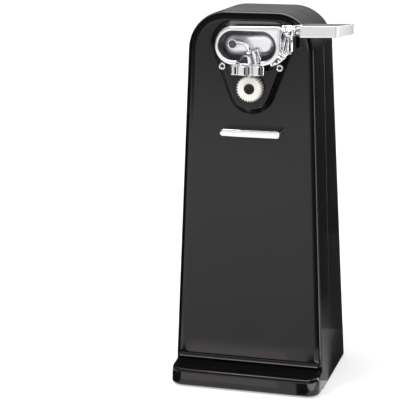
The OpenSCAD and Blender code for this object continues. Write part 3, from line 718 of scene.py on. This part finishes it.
def rear_rings():
    """Inner wall from the back forward to the parting line, then the outer wall back again over
    the rear radius."""
    inner_r = REAR_R - WALL
    rings = [rear_ring(WALL + inset, WALL, fall, foot_z + 2)
             for inset, fall in rolled((0, inner_r), (inner_r, 0), 13)[::-1]]
    groove = ((WALL, 0.02, 2), (0.25, 0.02, 0), (0.06, 0.14, 0), (0, 0.4, 0), (0, 1.0, 0))
    rings += [at_depth(tombstone(inset, foot_z + rise, 0.3), part_y + y) for inset, y, rise in groove]
    rings += [rear_ring(0, 0, REAR_R + 0.8, foot_z)]
    rings += [rear_ring(inset, 0, fall, foot_z) for inset, fall in rolled((0, REAR_R), (REAR_R, 0), 13)]
    return rings + [rear_ring(REAR_R + 0.2, 0, 0, foot_z)]


motor_z = joint_place("rotor_spin")[2]
rear_shell = make_piece("rear_shell", *loft(rear_rings()))
louvre_feet = [motor_z + LOUVRE_PITCH * (i - 2) for i in range(LOUVRES)]
louvres = [block(-LOUVRE_HALF, LOUVRE_HALF, 45, 99, z, z + LOUVRE_HEIGHT, 1.1) for z in louvre_feet]
wells = [rod(p[0], p[2], WELL_R, 45, 99) for p in screws]
lean = math.atan(BACK_SLOPE)
tilt = np.array([[1, 0, 0], [0, math.cos(lean), -math.sin(lean)], [0, math.sin(lean), math.cos(lean)]])
gland_points, gland_faces = rod(0, 0, GLAND_HOLE_R, -9, 9)
gland_hole = (gland_points @ tilt.T + np.array([0, back_at(GLAND_Z), GLAND_Z]), gland_faces)
cut(rear_shell, join_shapes(*louvres, *wells, gland_hole),
    block(-inner_half + 0.5, inner_half - 0.5, part_y - 1, back_y - WALL - 0.6, -1, foot_z + 3.1, 9.0))
add_to(rear_shell, *[
    tube(p[0], p[2], [(4.3, part_y), (4.3, back_at(p[2]) - 2.2), (WELL_R, back_at(p[2]) - 2.2),
                      (WELL_R, WELL_FLOOR), (SCREW_R, WELL_FLOOR), (SCREW_R, part_y)]) for p in screws])
finish_piece(rear_shell, "body", black_satin, "housing_black", "rear_housing")

# %% [markdown]
# ## Pressed outlines
# Shield, lever plate and handle are all the same kind of shape: an outline wrapped round a few
# circles, like a band round pegs, pressed to a depth with rolled edges. For every direction the
# band's point lies on the peg that reaches furthest that way, so insets stay matched. A circle
# can also be carried along a path.

# %% Band outlines and sweeps
def band(pegs, inset, steps):
    """For a direction u, the point of the peg with the largest centre . u + radius:
    centre + (radius - inset) u."""
    aim = circle(0.0, 0.0, 1.0, steps)
    pegs = np.asarray(pegs, dtype=float)
    best = pegs[(aim @ pegs[:, :2].T + pegs[:, 2]).argmax(1)]
    return best[:, :2] + np.maximum(best[:, 2:] - inset, 0.02) * aim


def pressed(pegs, profile, steps=144):
    """Rings of a band outline for each (inset, depth) of a profile."""
    return [at_depth(band(pegs, inset, steps), y) for inset, y in profile]


def swept(path, radii, steps=32):
    """A circle carried along a path of points. At each point the circle stands square to the
    path's direction, in a frame turned as little as possible from the last one."""
    path = np.asarray(path, dtype=float)
    heading = np.gradient(path, axis=0)
    heading /= np.linalg.norm(heading, axis=1)[:, None]
    side = np.cross(heading[0], [0.31, 0.77, 0.55])
    round_it = circle(0.0, 0.0, 1.0, steps)
    rings = []
    for spot, ahead, r in zip(path, heading, np.broadcast_to(radii, len(path))):
        side = side - ahead * (side @ ahead)
        side = side / np.linalg.norm(side)
        rings.append(spot + r * (round_it @ np.stack([side, np.cross(ahead, side)])))
    return loft(rings)


print("a band round two pegs:", band([(0, 0, 1), (4, 0, 1)], 0, 8).round(2).tolist())

# %% [markdown]
# ## Shield
# A glossy plate stands out from the panel behind the lever and the feed gear. Its rim is the
# interesting part: a thin upright lip, a shallow channel, a broad slope and a soft shoulder,
# each of which catches its own line of light.

# %% Shield
shield_low, shield_high = node_box("shield_plate")
shield_x, shield_y = (shield_low[0] + shield_high[0]) / 2, shield_low[1]
peg_z = pivot[2] - 0.6
shield_pegs = [(shield_x - 11.2, peg_z, 13.4), (shield_x + 11.2, peg_z, 13.4),
               (shield_x, feed[2] - 1.6, 14.5)]
shield_rise = -0.85 - shield_y
shield_profile = [(0.0, -0.02), (0.0, -0.75)] + rolled((0.0, -0.75), (0.22, -0.95), 4)
shield_profile += [(0.28, -0.95), (0.32, -0.9), (0.45, -0.8), (0.5, -0.85)]
shield_profile += [(0.5 + 3.0 * t, -0.85 - shield_rise * (1.12 * t - 0.12 * t * t))
                   for t in np.linspace(0.04, 0.97, 9)]
shield_profile += [(3.7, shield_y), (3.9, shield_y), (4.6, shield_y)]
shield = make_piece("shield", *loft(pressed(shield_pegs, shield_profile)), sharp_deg=50)
studs = {side: node_centre(f"rim_stud_{side}") for side in ("left", "right")}
shield_holes = shaft_holes + [(spot[0], spot[2], 1.1) for spot in studs.values()]
shield_holes += [(node_box("rim_wire")[0][0] + 0.4, studs["right"][2] - 2.6, 0.5)]
cut(shield, join_shapes(*[rod(x, z, r, -9, 1) for x, z, r in shield_holes]))
finish_piece(shield, "body", black_gloss, "shield_black", "shield_plate")

# %% [markdown]
# ## Lever
# The lever is one bright casting: a round-ended plate with an oval dish pressed deep into it, a
# web and a fluted tail at the right, and a square bar of a handle that ends in a bevelled nose.
# Plate and dish are one loft, from the back, over the rim, down the wall of the dish to its
# floor, so the light runs over them without a seam.

# %% Lever plate and dish
PLATE_R = 11.0
lever_low, lever_high = node_box("lever_body")
plate_y, lever_back, lever_top = lever_low[1], lever_high[1], lever_high[2]
plate_x0, plate_x1 = lever_low[0] + PLATE_R, lever_low[0] + 38.4 - PLATE_R
plate_pegs = [(plate_x0, pivot[2], PLATE_R), (plate_x1, pivot[2], PLATE_R),
              (plate_x1 + 9.5, lever_top - 1.5, 1.5)]
dish_pegs = [(plate_x0 - 0.5, pivot[2], 8.75), (plate_x1 - 0.4, pivot[2], 8.75)]
plate_profile = [(2.0, lever_back), (0.5, lever_back), (0.0, lever_back - 0.5), (0.0, plate_y + 1.2)]
plate_profile += rolled((0.0, plate_y + 1.1), (0.95, plate_y), 8) + [(1.05, plate_y)]
dish_profile = [(-0.45, plate_y)] + rolled((-0.4, plate_y), (0.35, plate_y + 0.9), 7, "inset")
dish_profile += [(0.55 + 1.35 * t, plate_y + 1.1 + 3.6 * t) for t in np.linspace(0, 1, 5)]
dish_profile += rolled((2.0, plate_y + 4.9), (5.6, plate_y + 8.0), 12)
dish_profile += [(5.9, plate_y + 8.0), (7.0, plate_y + 8.0)]
plate = loft(pressed(plate_pegs, plate_profile, 192) + pressed(dish_pegs, dish_profile, 192))
print("plate and dish:", len(plate[1]), "faces")

# %% [markdown]
# The handle's bar has its outline seen from above, carried upwards with rolled edges. The web
# behind it, the neck, the tail under the boss and the fan of ribs are smaller castings of the
# same piece, and a notch in the plate leaves room for the blade mount and the bracket.

# %% Handle, web, tail and ribs
RIB_FRONT, RIB_BACK = -17.0, -9.0


def stood(pegs, levels, steps=96):
    """Rings of a band outline in plan, for each (inset, height)."""
    return [at_height(band(pegs, inset, steps), z) for inset, z in levels]


def sections(rows):
    """A casting carried along the width: at each x a box of depth and height with eased corners."""
    return loft([at_width(quarter_box(y0, lever_back, z0, z1, (0.45,) * 4, 5), x) for x, y0, z0, z1 in rows])


def fluted(base, top, radius, end_radius, flutes, depth, levels=14):
    """A cone between two points whose radius is cut by flutes: radius times
    1 - depth (1 - |cos(n a / 2)| to the power 1.4), and a little narrower at both ends."""
    base, top = np.array(base), np.array(top)
    axis = (top - base) / np.linalg.norm(top - base)
    side = np.cross(axis, [0, 1, 0])
    side /= np.linalg.norm(side)
    across = np.stack([side, np.cross(axis, side)])
    shape = 1 - depth * (1 - np.abs(np.cos(flutes * full_turn(96) / 2)) ** 1.4)
    rings = []
    for t in np.linspace(0, 1, levels):
        r = (radius + (end_radius - radius) * t) * (0.86 + 0.14 * min(1.0, t * 8, (1 - t) * 8)) * shape
        rings.append(base + (top - base) * t + circle(0.0, 0.0, r, 96) @ across)
    return loft(rings)


def rib_fan():
    """Six cast ribs fan out from the plate's lower right, each a rounded bar along a radius of
    the plate's own end circle. They grow longer towards the tail, and a web ties them."""
    angles = np.radians(np.linspace(-64, -12, 6))
    reach = PLATE_R + np.interp(angles, (angles[0], angles[-1]), (0.9, 3.0))
    profile = [(0, RIB_BACK), (0, RIB_FRONT + 0.8)] + rolled((0, RIB_FRONT + 0.8), (0.7, RIB_FRONT), 5)
    ribs = []
    for a, outer_r in zip(angles, reach):
        inner, outer = ((plate_x1 + r * math.cos(a), pivot[2] + r * math.sin(a))
                        for r in (PLATE_R - 0.8, outer_r))
        ribs.append(loft(pressed([(*inner, 0.75), (*outer, 0.85)], profile, 32)))
    arc = np.linspace(angles[0], angles[-1], 30)
    r = np.interp(arc, angles, reach)
    tie = np.stack([plate_x1 + r * np.cos(arc), np.full(30, -14.6), pivot[2] + r * np.sin(arc)], -1)
    return ribs + [swept(tie, 0.9, 20)]


tip_x, handle_x = lever_high[0], 33.6
handle_low = lever_top - 6.4
handle_pegs = [
    (handle_x, lever_back - 0.6, 0.6), (handle_x, plate_y + 0.6, 0.6),
    (tip_x - 7.9, plate_y + 0.5, 0.5), (tip_x - 6.8, plate_y + 2.1, 0.5),
    (tip_x - 1.0, lever_back - 2.2, 0.6), (tip_x - 0.9, lever_back - 0.9, 0.9),
]
handle_levels = [(1.2, handle_low), (0.55, handle_low)]
handle_levels += rolled((0.5, handle_low), (0.0, handle_low + 0.5), 5, "inset")
handle_levels += [(0.0, handle_low + 0.6), (0.0, lever_top - 0.6)]
handle_levels += rolled((0.0, lever_top - 0.5), (0.5, lever_top), 5) + [(0.55, lever_top), (1.2, lever_top)]
handle = loft(stood(handle_pegs, handle_levels))
handle[0][:, 2] += 0.65 + 0.027 * (handle[0][:, 0] - handle_x)
web_y, web_low = plate_y + 8.0, pivot[2] - 3.4
web = sections([(x, web_y + y, web_low + z, lever_top) for x, y, z in (
    (19.6, -2.2, 0), (20.9, -2.0, 0), (23.1, -0.2, 0), (23.6, 0, 0), (27.4, 0, 0), (27.9, 0.3, 0.5))])
neck = sections([(x, web_y + y, handle_low + low, lever_top + high) for x, y, low, high in (
    (27.0, 0.1, 0.4, 0), (28.2, 0.2, 0.4, 0), (28.5, 0.4, 0.4, 0), (32.6, 3.3, 0.6, 0.3),
    (34.4, 3.4, 0.7, 0.6))])
tail = fluted((23.9, -14.4, pivot[2] - 4.2), (25.2, -14.6, pivot[2] + 4.4), 3.5, 2.1, 6, 0.30)
socket_rim = tube(26.0, lever_top - 3.2, from_depth(web_y, [(2.1, 0), (2.1, -2.6), (2.5, -2.9), (3.3, -2.9),
                                                            (3.6, -2.6), (3.6, 0)]), 48)
mount_low, mount_high = node_box("blade_mount")
bracket_high = node_box("arm_bracket")[1]
hinge = joint_place("magnet_swing")
notch = np.array([(mount_low[0] + 0.2, mount_low[2] - 1.5), (bracket_high[0] + 0.3, mount_low[2] - 1.5),
                  (hinge[0] + 7.0, mount_high[2] - 0.3), (mount_low[0] + 4.0, mount_high[2] - 0.3)])
lever = make_piece("lever_casting", *plate)
cut(lever, loft([at_depth(notch, y) for y in (plate_y - 2, web_y)]))
add_to(lever, handle, web, neck, tail, socket_rim, *rib_fan())
lever.data.set_sharp_from_angle(angle=math.radians(26))
finish_piece(lever, "lever", lever_chrome, "bright_chrome", "lever_body")

# %% [markdown]
# ## Guard and blade mount
# Under the plate a round-ended guard keeps the lid from slipping off the blade. A facetted mount
# rises from it in front of the dish. Chrome shows a shape by its edges, so these get rolled or
# bevelled edges.

# %% Guard
guard_low, guard_high = node_box("cutter_guard")
guard_x, guard_y, _ = (guard_low + guard_high) / 2
guard_half, guard_r, _ = (guard_high - guard_low) / 2
guard_foot, guard_top = guard_low[2], guard_high[2]


def guard_plan(inset):
    """Plan of the guard: a flattened ellipse whose front is hollowed by two shallow flutes.
    A flute is a half sine of the place across the front, skewed so that its left flank is
    the longer one."""
    across, along = circle(0.0, 0.0, 1.0, 360).T
    x = (guard_half - inset) * np.sign(across) * np.abs(across) ** 0.8
    y = (guard_r - inset) * np.sign(along) * np.abs(along) ** 0.8
    for start, end, depth in ((-7.4, -4.2, 1.2), (-1.4, 4.5, 2.0)):
        t = np.clip((x - start) / (end - start), 0, 1)
        y += np.where(y < 0, depth * np.sin(math.pi * t ** 1.5), 0.0)
    return np.stack([guard_x + x, guard_y + y], -1)


guard_levels = [(1.2, guard_foot), (0.5, guard_foot)]
guard_levels += rolled((0.4, guard_foot), (0.0, guard_foot + 0.4), 5, "inset")
guard_levels += [(0.0, guard_foot + 0.5), (0.0, guard_top - 1.15)]
guard_levels += rolled((0.0, guard_top - 1.1), (0.35, guard_top - 0.8), 4)
guard_levels += from_depth(guard_top, [(0.35, -0.75), (0.15, -0.55), (0.15, -0.25), (0.45, 0), (1.5, 0)])
guard_rings = [at_height(guard_plan(inset), z) for inset, z in guard_levels]
guard = make_piece("cutter_guard_ring", *loft(guard_rings), sharp_deg=40)
blade_low, blade_high = node_box("cutter_blade")
cut(guard, block(blade_low[0] - 0.05, blade_high[0] + 0.05, blade_low[1] - 0.05, blade_high[1] + 0.05,
                 guard_foot - 1, blade_high[2] + 0.05, 0.1))
finish_piece(guard, "lever", bright_chrome, "bright_chrome", "cutter_guard")

# %% Blade mount
def mount_rings():
    """A facetted hood: an octagon in plan that shrinks and shifts as it rises, with a small foot
    flange. Linear between the levels, so the facets stay flat."""
    rings = []
    levels = ((0.0, 0.0), (0.08, 0.0), (0.14, 0.30), (0.55, 0.62), (0.86, 1.0), (0.95, 1.0), (1.0, 1.18))
    for t, flare in levels:
        x0, x1 = mount_low[0] + 0.6 + 3.6 * flare, mount_high[0] - 1.8 * flare
        y0, y1 = mount_low[1] + 1.9 * flare, mount_high[1] - 0.9 * flare
        c = 1.2 - 0.35 * flare
        plan = np.array([(x0, y0 + c), (x0 + 1.4 * c, y0), (x1 - 1.4 * c, y0), (x1, y0 + c),
                         (x1, y1 - c), (x1 - c, y1), (x0 + c, y1), (x0, y1 - c)])
        rings.append(at_height(plan, mount_low[2] + (mount_high[2] - mount_low[2]) * t))
    return rings


mount = make_piece("blade_mount_hood", *loft(mount_rings()), sharp_deg=12)
edge = mount.modifiers.new("edge", "BEVEL")
edge.width, edge.segments, edge.limit_method, edge.angle_limit = 0.22 * MM, 3, "ANGLE", math.radians(14)
finish_piece(mount, "lever", bright_chrome, "bright_chrome", "blade_mount")

# %% [markdown]
# ## Bracket, magnet arm and cup
# The bracket that carries the hinge is two bent legs on one foot, with a boss about the hinge
# line. The arm is a round bar bent into a hook, thicker at the hinge knuckle, that ends over
# the cup: a circle is carried along the bend, and its radius swells at both ends.

# %% Bracket
def eased(offsets):
    """Rounds the corners of a path about the hinge: three times over, each stretch keeps its
    middle half."""
    path = hinge + np.array(offsets)
    for _ in range(3):
        start, stop = path[:-1], path[1:]
        inner = np.stack([0.75 * start + 0.25 * stop, 0.25 * start + 0.75 * stop], 1).reshape(-1, 3)
        path = np.vstack([path[:1], inner, path[-1:]])
    return path


def lug(x0, x1, r):
    """A short turned boss about the hinge line, with eased rims."""
    eases = ((0.4, 0), (0.1, 0.2), (0, 0.5))
    rows = [(r - less, x0 + x) for less, x in eases] + [(r - less, x1 - x) for less, x in eases[::-1]]
    return loft([at_width(circle(hinge[1], hinge[2], k, 40), hinge[0] + x) for k, x in rows])


fall = guard_top - hinge[2]
front_leg = eased([(2.7, -0.9, 1.1), (3.2, -1.0, -0.8), (4.4, -1.0, -2.4), (4.5, -0.9, fall - 0.2)])
back_leg = eased([(2.9, 0.9, 1.3), (4.9, 0.9, 1.2), (5.6, 0.9, -1.6), (7.7, 0.9, fall + 1.2),
                  (7.6, 0.9, fall - 0.2)])
foot_plate = block(hinge[0] + 3.0, hinge[0] + 8.7, hinge[1] - 1.9, hinge[1] + 1.8,
                   guard_top - 0.2, guard_top + 0.5, 0.3)
add_piece("hinge_bracket", join_shapes(swept(front_leg, 0.85, 24), swept(back_leg, 0.8, 24), foot_plate,
                                       lug(2.0, 4.0, 1.75)),
          40, "lever", bright_chrome, "bright_chrome", "arm_bracket")

# %% Magnet hook, cup and face
BEND_R = 5.7
hook = [(BEND_R * math.cos(a), 0, BEND_R * math.sin(a)) for a in np.linspace(0, math.pi / 2, 22)]
hook = hinge + np.array(hook + [(-0.8, 0, BEND_R), (-1.6, 0, BEND_R - 0.1)]) - (BEND_R, 0, 0)
hook_radii = np.interp(np.linspace(0, 1, len(hook)), [0, 0.12, 0.5, 0.85, 1], [1.5, 1.35, 1.3, 1.35, 1.45])
add_piece("magnet_hook", join_shapes(swept(hook, hook_radii), lug(-1.4, 1.4, 1.5)),
          40, "magnet", bright_chrome, "bright_chrome", "magnet_arm")
cup_low, cup_high = node_box("magnet_cup")
cup_x, _, cup_z = node_centre("magnet_cup")
cup_r, disc_r = half_width("magnet_cup"), half_width("magnet_disc")
cup_rows = from_depth(cup_high[1], [(cup_r - 0.9, 0), (cup_r - 0.35, -0.12), (cup_r, -0.55)])
cup_rows += from_depth(cup_low[1], [(cup_r, 0.3), (cup_r - 0.12, 0.05), (cup_r - 0.3, 0),
                                    (cup_r - 0.55, 0.1), (cup_r - 0.6, 1.3), (0.4, 1.3)])
add_piece("magnet_cup_turned", turned(cup_x, cup_z, cup_rows),
          40, "magnet", bright_chrome, "bright_chrome", "magnet_cup")
disc_low, disc_high = node_box("magnet_disc")
disc_rows = [(disc_r - 0.02, disc_high[1])]
pip = [(math.cos(a), 0.2 - 0.18 * math.sin(a)) for a in np.linspace(0.2, 1.45, 6)]
disc_rows += from_depth(disc_low[1], [(disc_r - 0.02, 0.15), (disc_r - 0.2, 0), (1.55, 0.02), (1.45, 0.5),
                                      (1.2, 0.55), (1.05, 0.2)] + pip)
add_piece("magnet_face_turned", turned(cup_x, cup_z, disc_rows),
          40, "magnet", magnet_face, "magnet", "magnet_disc")

# %% [markdown]
# ## Latch button
# The button that frees the lever is a domed pin in a cast socket, with two turned rings that
# break its reflection.

# %% Latch button
DOME_Y = -16.6
button_x, _, button_z = node_centre("latch_button")
button_low, button_high = node_box("latch_button")
button_r = half_width("latch_button")
dome = button_low[1]
button_rows = [(1.95, button_high[1]), (2.0, button_high[1] - 0.2), (2.0, -13.3), (2.9, -13.25),
               (3.15, -13.5), (button_r, -13.9), (button_r, -15.3), (2.8, -15.5), (2.75, -15.8),
               (3.0, -16.0), (3.0, DOME_Y)]
button_rows += [(3.0 * math.cos(a), DOME_Y + (dome - DOME_Y) * math.sin(a))
                for a in np.linspace(0.12, 1.02, 7)]
button_rows += from_depth(dome, [(1.35, 0.32), (1.15, 0.5), (0.9, 0.35), (0.45, 0.05), (0.2, 0)])
add_piece("latch_button_turned", turned(button_x, button_z, button_rows),
          45, "latch", bright_chrome, "bright_chrome", "latch_button")

# %% [markdown]
# ## Feed gear
# The feed gear grips the can's rim from below: a thick pale wheel with coarse, slightly hooked
# teeth. Its outline is a radius that depends on the angle, and the teeth shrink at both faces,
# where a real wheel is chamfered. A dark screw holds it.

# %% Feed gear and hub screw
TEETH = 28
GEAR_STEPS = TEETH * 12
gear_low, gear_high = node_box("feed_gear")
gear_r = half_width("feed_gear")
gear_y0, gear_y1 = gear_low[1], gear_high[1]


def gear_outline(shrink):
    """Radius against angle: each tooth rises fast, stays flat on a narrow tip and falls slower."""
    phase = (full_turn(GEAR_STEPS) * TEETH / (2 * math.pi)) % 1.0
    height = np.interp(phase, [0, 0.22, 0.36, 0.46, 0.82, 1.0], [0.0, 0.60, 1.0, 1.0, 0.10, 0.0])
    return circle(feed[0], feed[2], gear_r - 1.0 - shrink + height, GEAR_STEPS)


teeth = [(0.8, gear_y1), (0.3, gear_y1), (0.0, gear_y1 - 0.3), (0.0, gear_y0 + 0.35),
         (0.35, gear_y0), (0.5, gear_y0)]
face = from_depth(gear_y0, [(gear_r - 2.6, 0), (gear_r - 2.75, 0.12), (gear_r - 3.4, 0.16), (3.6, 0.16),
                            (3.4, 0.05), (3.15, 0.02), (3.05, 0.3), (3.05, 1.0)])
gear = make_piece("feed_gear_toothed", *loft(
    [at_depth(gear_outline(shrink), y) for shrink, y in teeth]
    + [at_depth(circle(feed[0], feed[2], r, GEAR_STEPS), y) for r, y in face]), sharp_deg=38)
cut(gear, rod(feed[0], feed[2], 3.0, -20, 0, 48))
finish_piece(gear, "drive", feed_metal, "feed_metal", "feed_gear")
screw_low, screw_high = node_box("feed_screw")
head_rows = [(1.15, screw_high[1]), (1.2, screw_high[1] - 0.3)]
head_rows += from_depth(gear_y0, [(1.2, -0.02), (2.85, -0.02), (2.98, -0.12)])
head_rows += from_depth(screw_low[1], [(2.98, 0.3), (2.7, 0), (1.7, 0.02), (1.5, 0.25), (1.25, 0.3),
                                       (1.15, 0.1), (0.9, 0.1), (0.75, 0.5), (0.1, 0.5)])
add_piece("hub_screw", turned(feed[0], feed[2], head_rows), 40, "drive", black_gloss, "steel", "feed_screw")

# %% [markdown]
# ## Can rest bar
# The long rib below the gear stops a can from tilting. It is a bright rounded bar with a slight
# crown across its face, on two stems.

# %% Rest bar
rest_y = rest_low[1]
rest_r = (rest_high[2] - rest_low[2]) / 2
rest_pegs = [(rest_low[0] + rest_r, rest_mid[2], rest_r), (rest_high[0] - rest_r, rest_mid[2], rest_r)]
rest_profile = [(0.5, -0.02), (0.0, -0.4), (0.0, rest_y + 0.8)]
rest_profile += rolled((0.0, rest_y + 0.75), (0.8, rest_y + 0.08), 7)
rest_profile += [(1.2, rest_y + 0.03), (1.7, rest_y), (1.9, rest_y)]
stems = [rod(x, rest_mid[2], 1.5, -0.3, rest_high[1]) for x in stem_spots]
add_piece("can_rest_bar", join_shapes(loft(pressed(rest_pegs, rest_profile, 96)), *stems),
          45, "body", bright_chrome, "bright_chrome", "rest_bar")

# %% [markdown]
# ## Rim studs
# Two small hollow studs guide the can's rim. They are turned: a collar, a rolled lip, a blind bore.
# A dark plug down the bore is painted shade: it stands in for the shadow inside the hole.

# %% Rim studs
for side, spot in studs.items():
    low, high = node_box(f"rim_stud_{side}")
    r, tip = half_width(f"rim_stud_{side}"), low[1]
    lip = [(r - 0.55 + 0.55 * math.cos(a), 0.5 - 0.5 * math.sin(a)) for a in np.linspace(0.2, 2.2, 8)]
    rows = [(0.95, high[1]), (1.0, high[1] - 0.2)]
    rows += from_depth(shield_y, [(1.0, -0.01), (r - 0.25, -0.05), (r, -0.4)])
    rows += from_depth(tip, [(r, 0.55), *lip, (0.85, 0.5), (0.8, 1.9), (0.1, 2.0)])
    add_piece(f"rim_stud_{side}_turned", turned(spot[0], spot[2], rows),
              40, "body", soft_chrome, "bright_chrome", f"rim_stud_{side}")
    # Painted shade: a black rubber plug sits in the bore, where the real stud has only the shadow of the
    # hole.
    shade_plug_rows = from_depth(tip, [(0.82, 1.2), (0.82, 0.62), (0.5, 0.5), (0.1, 0.48)])
    add_piece(f"stud_bore_{side}", turned(spot[0], spot[2], shade_plug_rows, 32),
              50, "body", black_rubber, "steel")

# %% [markdown]
# ## Floor
# The floor is pale and glows a little for the camera and for mirrors, so it meets the white
# room without a line yet keeps the shadow.

# %% Floor
def sheet(name, corners):
    """A stage piece of one face, from corners in housing millimetres."""
    mesh = bpy.data.meshes.new(name)
    mesh.from_pydata(((np.array(corners, dtype=float) + shift) * MM).tolist(), [], [(0, 1, 2, 3)])
    made = bpy.data.objects.new(name, mesh)
    bpy.context.scene.collection.objects.link(made)
    return made


floor = sheet("floor", [(-4000, -4000, 0), (4000, -4000, 0), (4000, 4000, 0), (-4000, 4000, 0)])
paint = Finish("pale_floor", Roughness=0.8)
paint.set(Base_Color=paint.colours(paint.noise(90.0, 3.0), (0.80, 0.80, 0.80), (0.84, 0.84, 0.84)),
          Emission_Strength=0.0)
glow = paint.node("ShaderNodeEmission", {"Color": (1, 1, 1, 1), "Strength": paint.seen() * 0.42})
paint.surface(paint.node("ShaderNodeAddShader", {0: Sock(paint, paint.shader.outputs[0]), 1: glow}))
floor.data.materials.append(paint.material)
print("floor ready")

# %% [markdown]
# ## Screens and cards
# Black plastic and chrome show their form only by what they mirror. So screens stand round the
# opener, which reflections alone can see: dark flags give the glossy sides their black, and
# bright strips and cards draw the lines of light along the edges. Some fade along one axis,
# because a hard edge in a mirror looks like an edge of the object.

# %% Dark flags
def reflected_only(made, material):
    """Gives a screen its material and shows it to nothing but reflections."""
    made.data.materials.append(material)
    made.visible_camera = made.visible_shadow = made.visible_diffuse = False


def upright(x0, y0, x1, y1, z0, z1):
    """Corners of a screen that stands over a line in plan."""
    return [(x0, y0, z0), (x1, y1, z0), (x1, y1, z1), (x0, y0, z1)]


def flat(z, *plan):
    """Corners of a level card."""
    return [(x, y, z) for x, y in plan]


def flag(name, corners, level, fade=None):
    """A matt screen. A fade gives an axis, two places on it, and the level at the second."""
    cloth = Finish(name + "_cloth", Roughness=1.0, Specular_IOR_Level=0.0)
    if fade:
        axis, start, end, last = fade
        start, end = ((place + shift["XYZ".index(axis)]) * MM for place in (start, end))
        shade = cloth.node("ShaderNodeMapRange", {"Value": cloth.along(axis), "From Min": start,
                                                  "From Max": end, "To Min": level, "To Max": last})
    else:
        shade = cloth.noise(40.0) * (level * 0.2) + level * 0.9
    cloth.set(Base_Color=shade)
    reflected_only(sheet(name, corners), cloth.material)


FLAGS = (
    ("flag_left", upright(-520, -140, -420, 700, 95, 900), 0.05),
    ("flag_front_right", upright(330, -700, 520, -520, 0, 480), 0.02),
    ("flag_right", upright(520, -520, 520, -90, 0, 480), 0.03),
    ("flag_tip", upright(700, -500, 700, 700, 0, 230), 1.0, ("Y", 120, 450, 0.45)),
    ("near_fade", upright(52, -52, 75, -40, 9, 200), 0.75, ("X", 52, 74, 0.02)),
    ("near_right", upright(75, -40, 104, -6.4, 9, 200), 0.02),
    ("near_side", upright(104, -6.4, 99, 13.6, 9, 200), 0.02),
    ("behind_low_side", upright(46, 122.5, 64, 123.6, 0.5, 68), 0.05),
    ("behind_low_edge", upright(64, 123.6, 87, 125, 0.5, 68), 0.16, ("Z", 1, 26, 0.03)),
    ("behind_low_right", upright(87, 125, 330, 140, 0.5, 68), 0.24, ("Z", 2, 62, 0.03)),
    ("behind_right", upright(46, 122.5, 330, 140, 68, 196), 0.03),
    ("behind_left", upright(-320, 100, -60, 116, 0.5, 196), 0.03),
    ("flag_behind", upright(-320, 100, 330, 140, 196, 700), 0.03, ("Z", 196, 242, 0.30)),
    ("flag_front_high", upright(-2400, -900, 260, -900, 390, 1500), 0.04),
    ("flag_front_left", upright(-2400, -900, -520, -900, 0, 390), 0.04),
    ("cloth_floor", flat(0.3, (-1800, -2600), (700, -2600), (700, -74), (-1800, -74)), 0.82),
    ("cloth_near", flat(0.4, (40, 20), (46, 20), (64, 130), (40, 130)), 0.05),
    ("cloth_front", flat(0.5, (24, -64), (43, -64), (45, -22), (33, -14.5)), 0.01),
    ("cloth_left", flat(0.5, (-78, -60), (-59, -60), (-43, -20), (-78, -20)), 0.02),
    ("cloth_left_side", flat(0.5, (-78, -20), (-43, -20), (-58, 20), (-78, 20)), 0.02),
)
for row in FLAGS:
    flag(*row)
print("flags:", len(FLAGS))


# %% Bright strips and cards
def strip(name, corners, level, tint=(1.0, 1.0, 1.0), soft=None):
    """A bright card. Soft edges give an axis, the middle of the card and its half width: the
    light falls off as one minus the square of the distance."""
    glow = Finish(name + "_glow")
    colour = tint + (1.0,)
    if soft:
        axis, middle, half = soft
        away = (glow.along(axis) - (middle + shift["XYZ".index(axis)]) * MM) * (1.0 / (half * MM))
        colour = glow.node("ShaderNodeMapRange", {"Value": 1.0 - away * away})
    glow.surface(glow.node("ShaderNodeEmission", {"Color": colour, "Strength": level}))
    reflected_only(sheet(name, corners), glow.material)


strip("strip_right", upright(99, 14, 91, 46, 0.6, 204), 7.0, soft=("Y", 31, 14))
strip("strip_right_top", upright(99, 14, 91, 46, 204, 330), 0.85, soft=("Y", 31, 15))
strip("strip_behind", upright(-320, 99, 330, 139, 320, 400), 2.6)
strip("strip_above", [(-200, -180, 620), (200, -180, 620), (200, 0, 640), (-200, 0, 640)], 6.5)
strip("strip_above_back", flat(640, (-200, 0), (200, 0), (200, 170), (-200, 170)), 3.0)
strip("card_corner", flat(0.6, (44, -56), (84, -22), (80, -4), (50, -19)), 4.6)
strip("card_edge", flat(0.4, (46, 20), (56.7, 20), (86.4, 130), (64, 130)), 0.33, soft=("Y", 40, 95))
strip("card_side", flat(0.4, (58.8, 3), (330, 3), (330, 140), (58.8, 123)), 0.42)
strip("card_front", flat(0.6, (-56, -66), (8, -66), (20, -24), (-44, -24)), 1.9, (1.0, 0.90, 0.86))
print("strips and cards ready")

# %% [markdown]
# ## Room and lamps
# The room is white to the camera and in mirrors, and a little less bright on matt surfaces. A
# key lamp from the left and a weak fill from the right shape the shadow.

# %% Room and lamps
world = bpy.data.worlds.new("room")
bpy.context.scene.world = world
room = Finish("room", world, Color=(1, 1, 1, 1))
room.set(Strength=room.node("ShaderNodeMapRange", {"Value": room.seen(), "To Min": 0.80, "To Max": 1.0}))


def lamp(name, place, width, power):
    """A square soft lamp at a place, aimed at the middle of the housing."""
    data = bpy.data.lights.new(name, "AREA")
    data.shape, data.size, data.energy = "SQUARE", width, power
    made = bpy.data.objects.new(name, data)
    set_looking(made, place, (0, 20, 110))
    made.visible_camera = False
    return made


lamp("key_left", (-700, -700, 900), 0.6, 9.0).visible_glossy = False
lamp("fill_right", (600, -900, 500), 0.8, 3.0)
bpy.context.scene.view_settings.view_transform = "Standard"
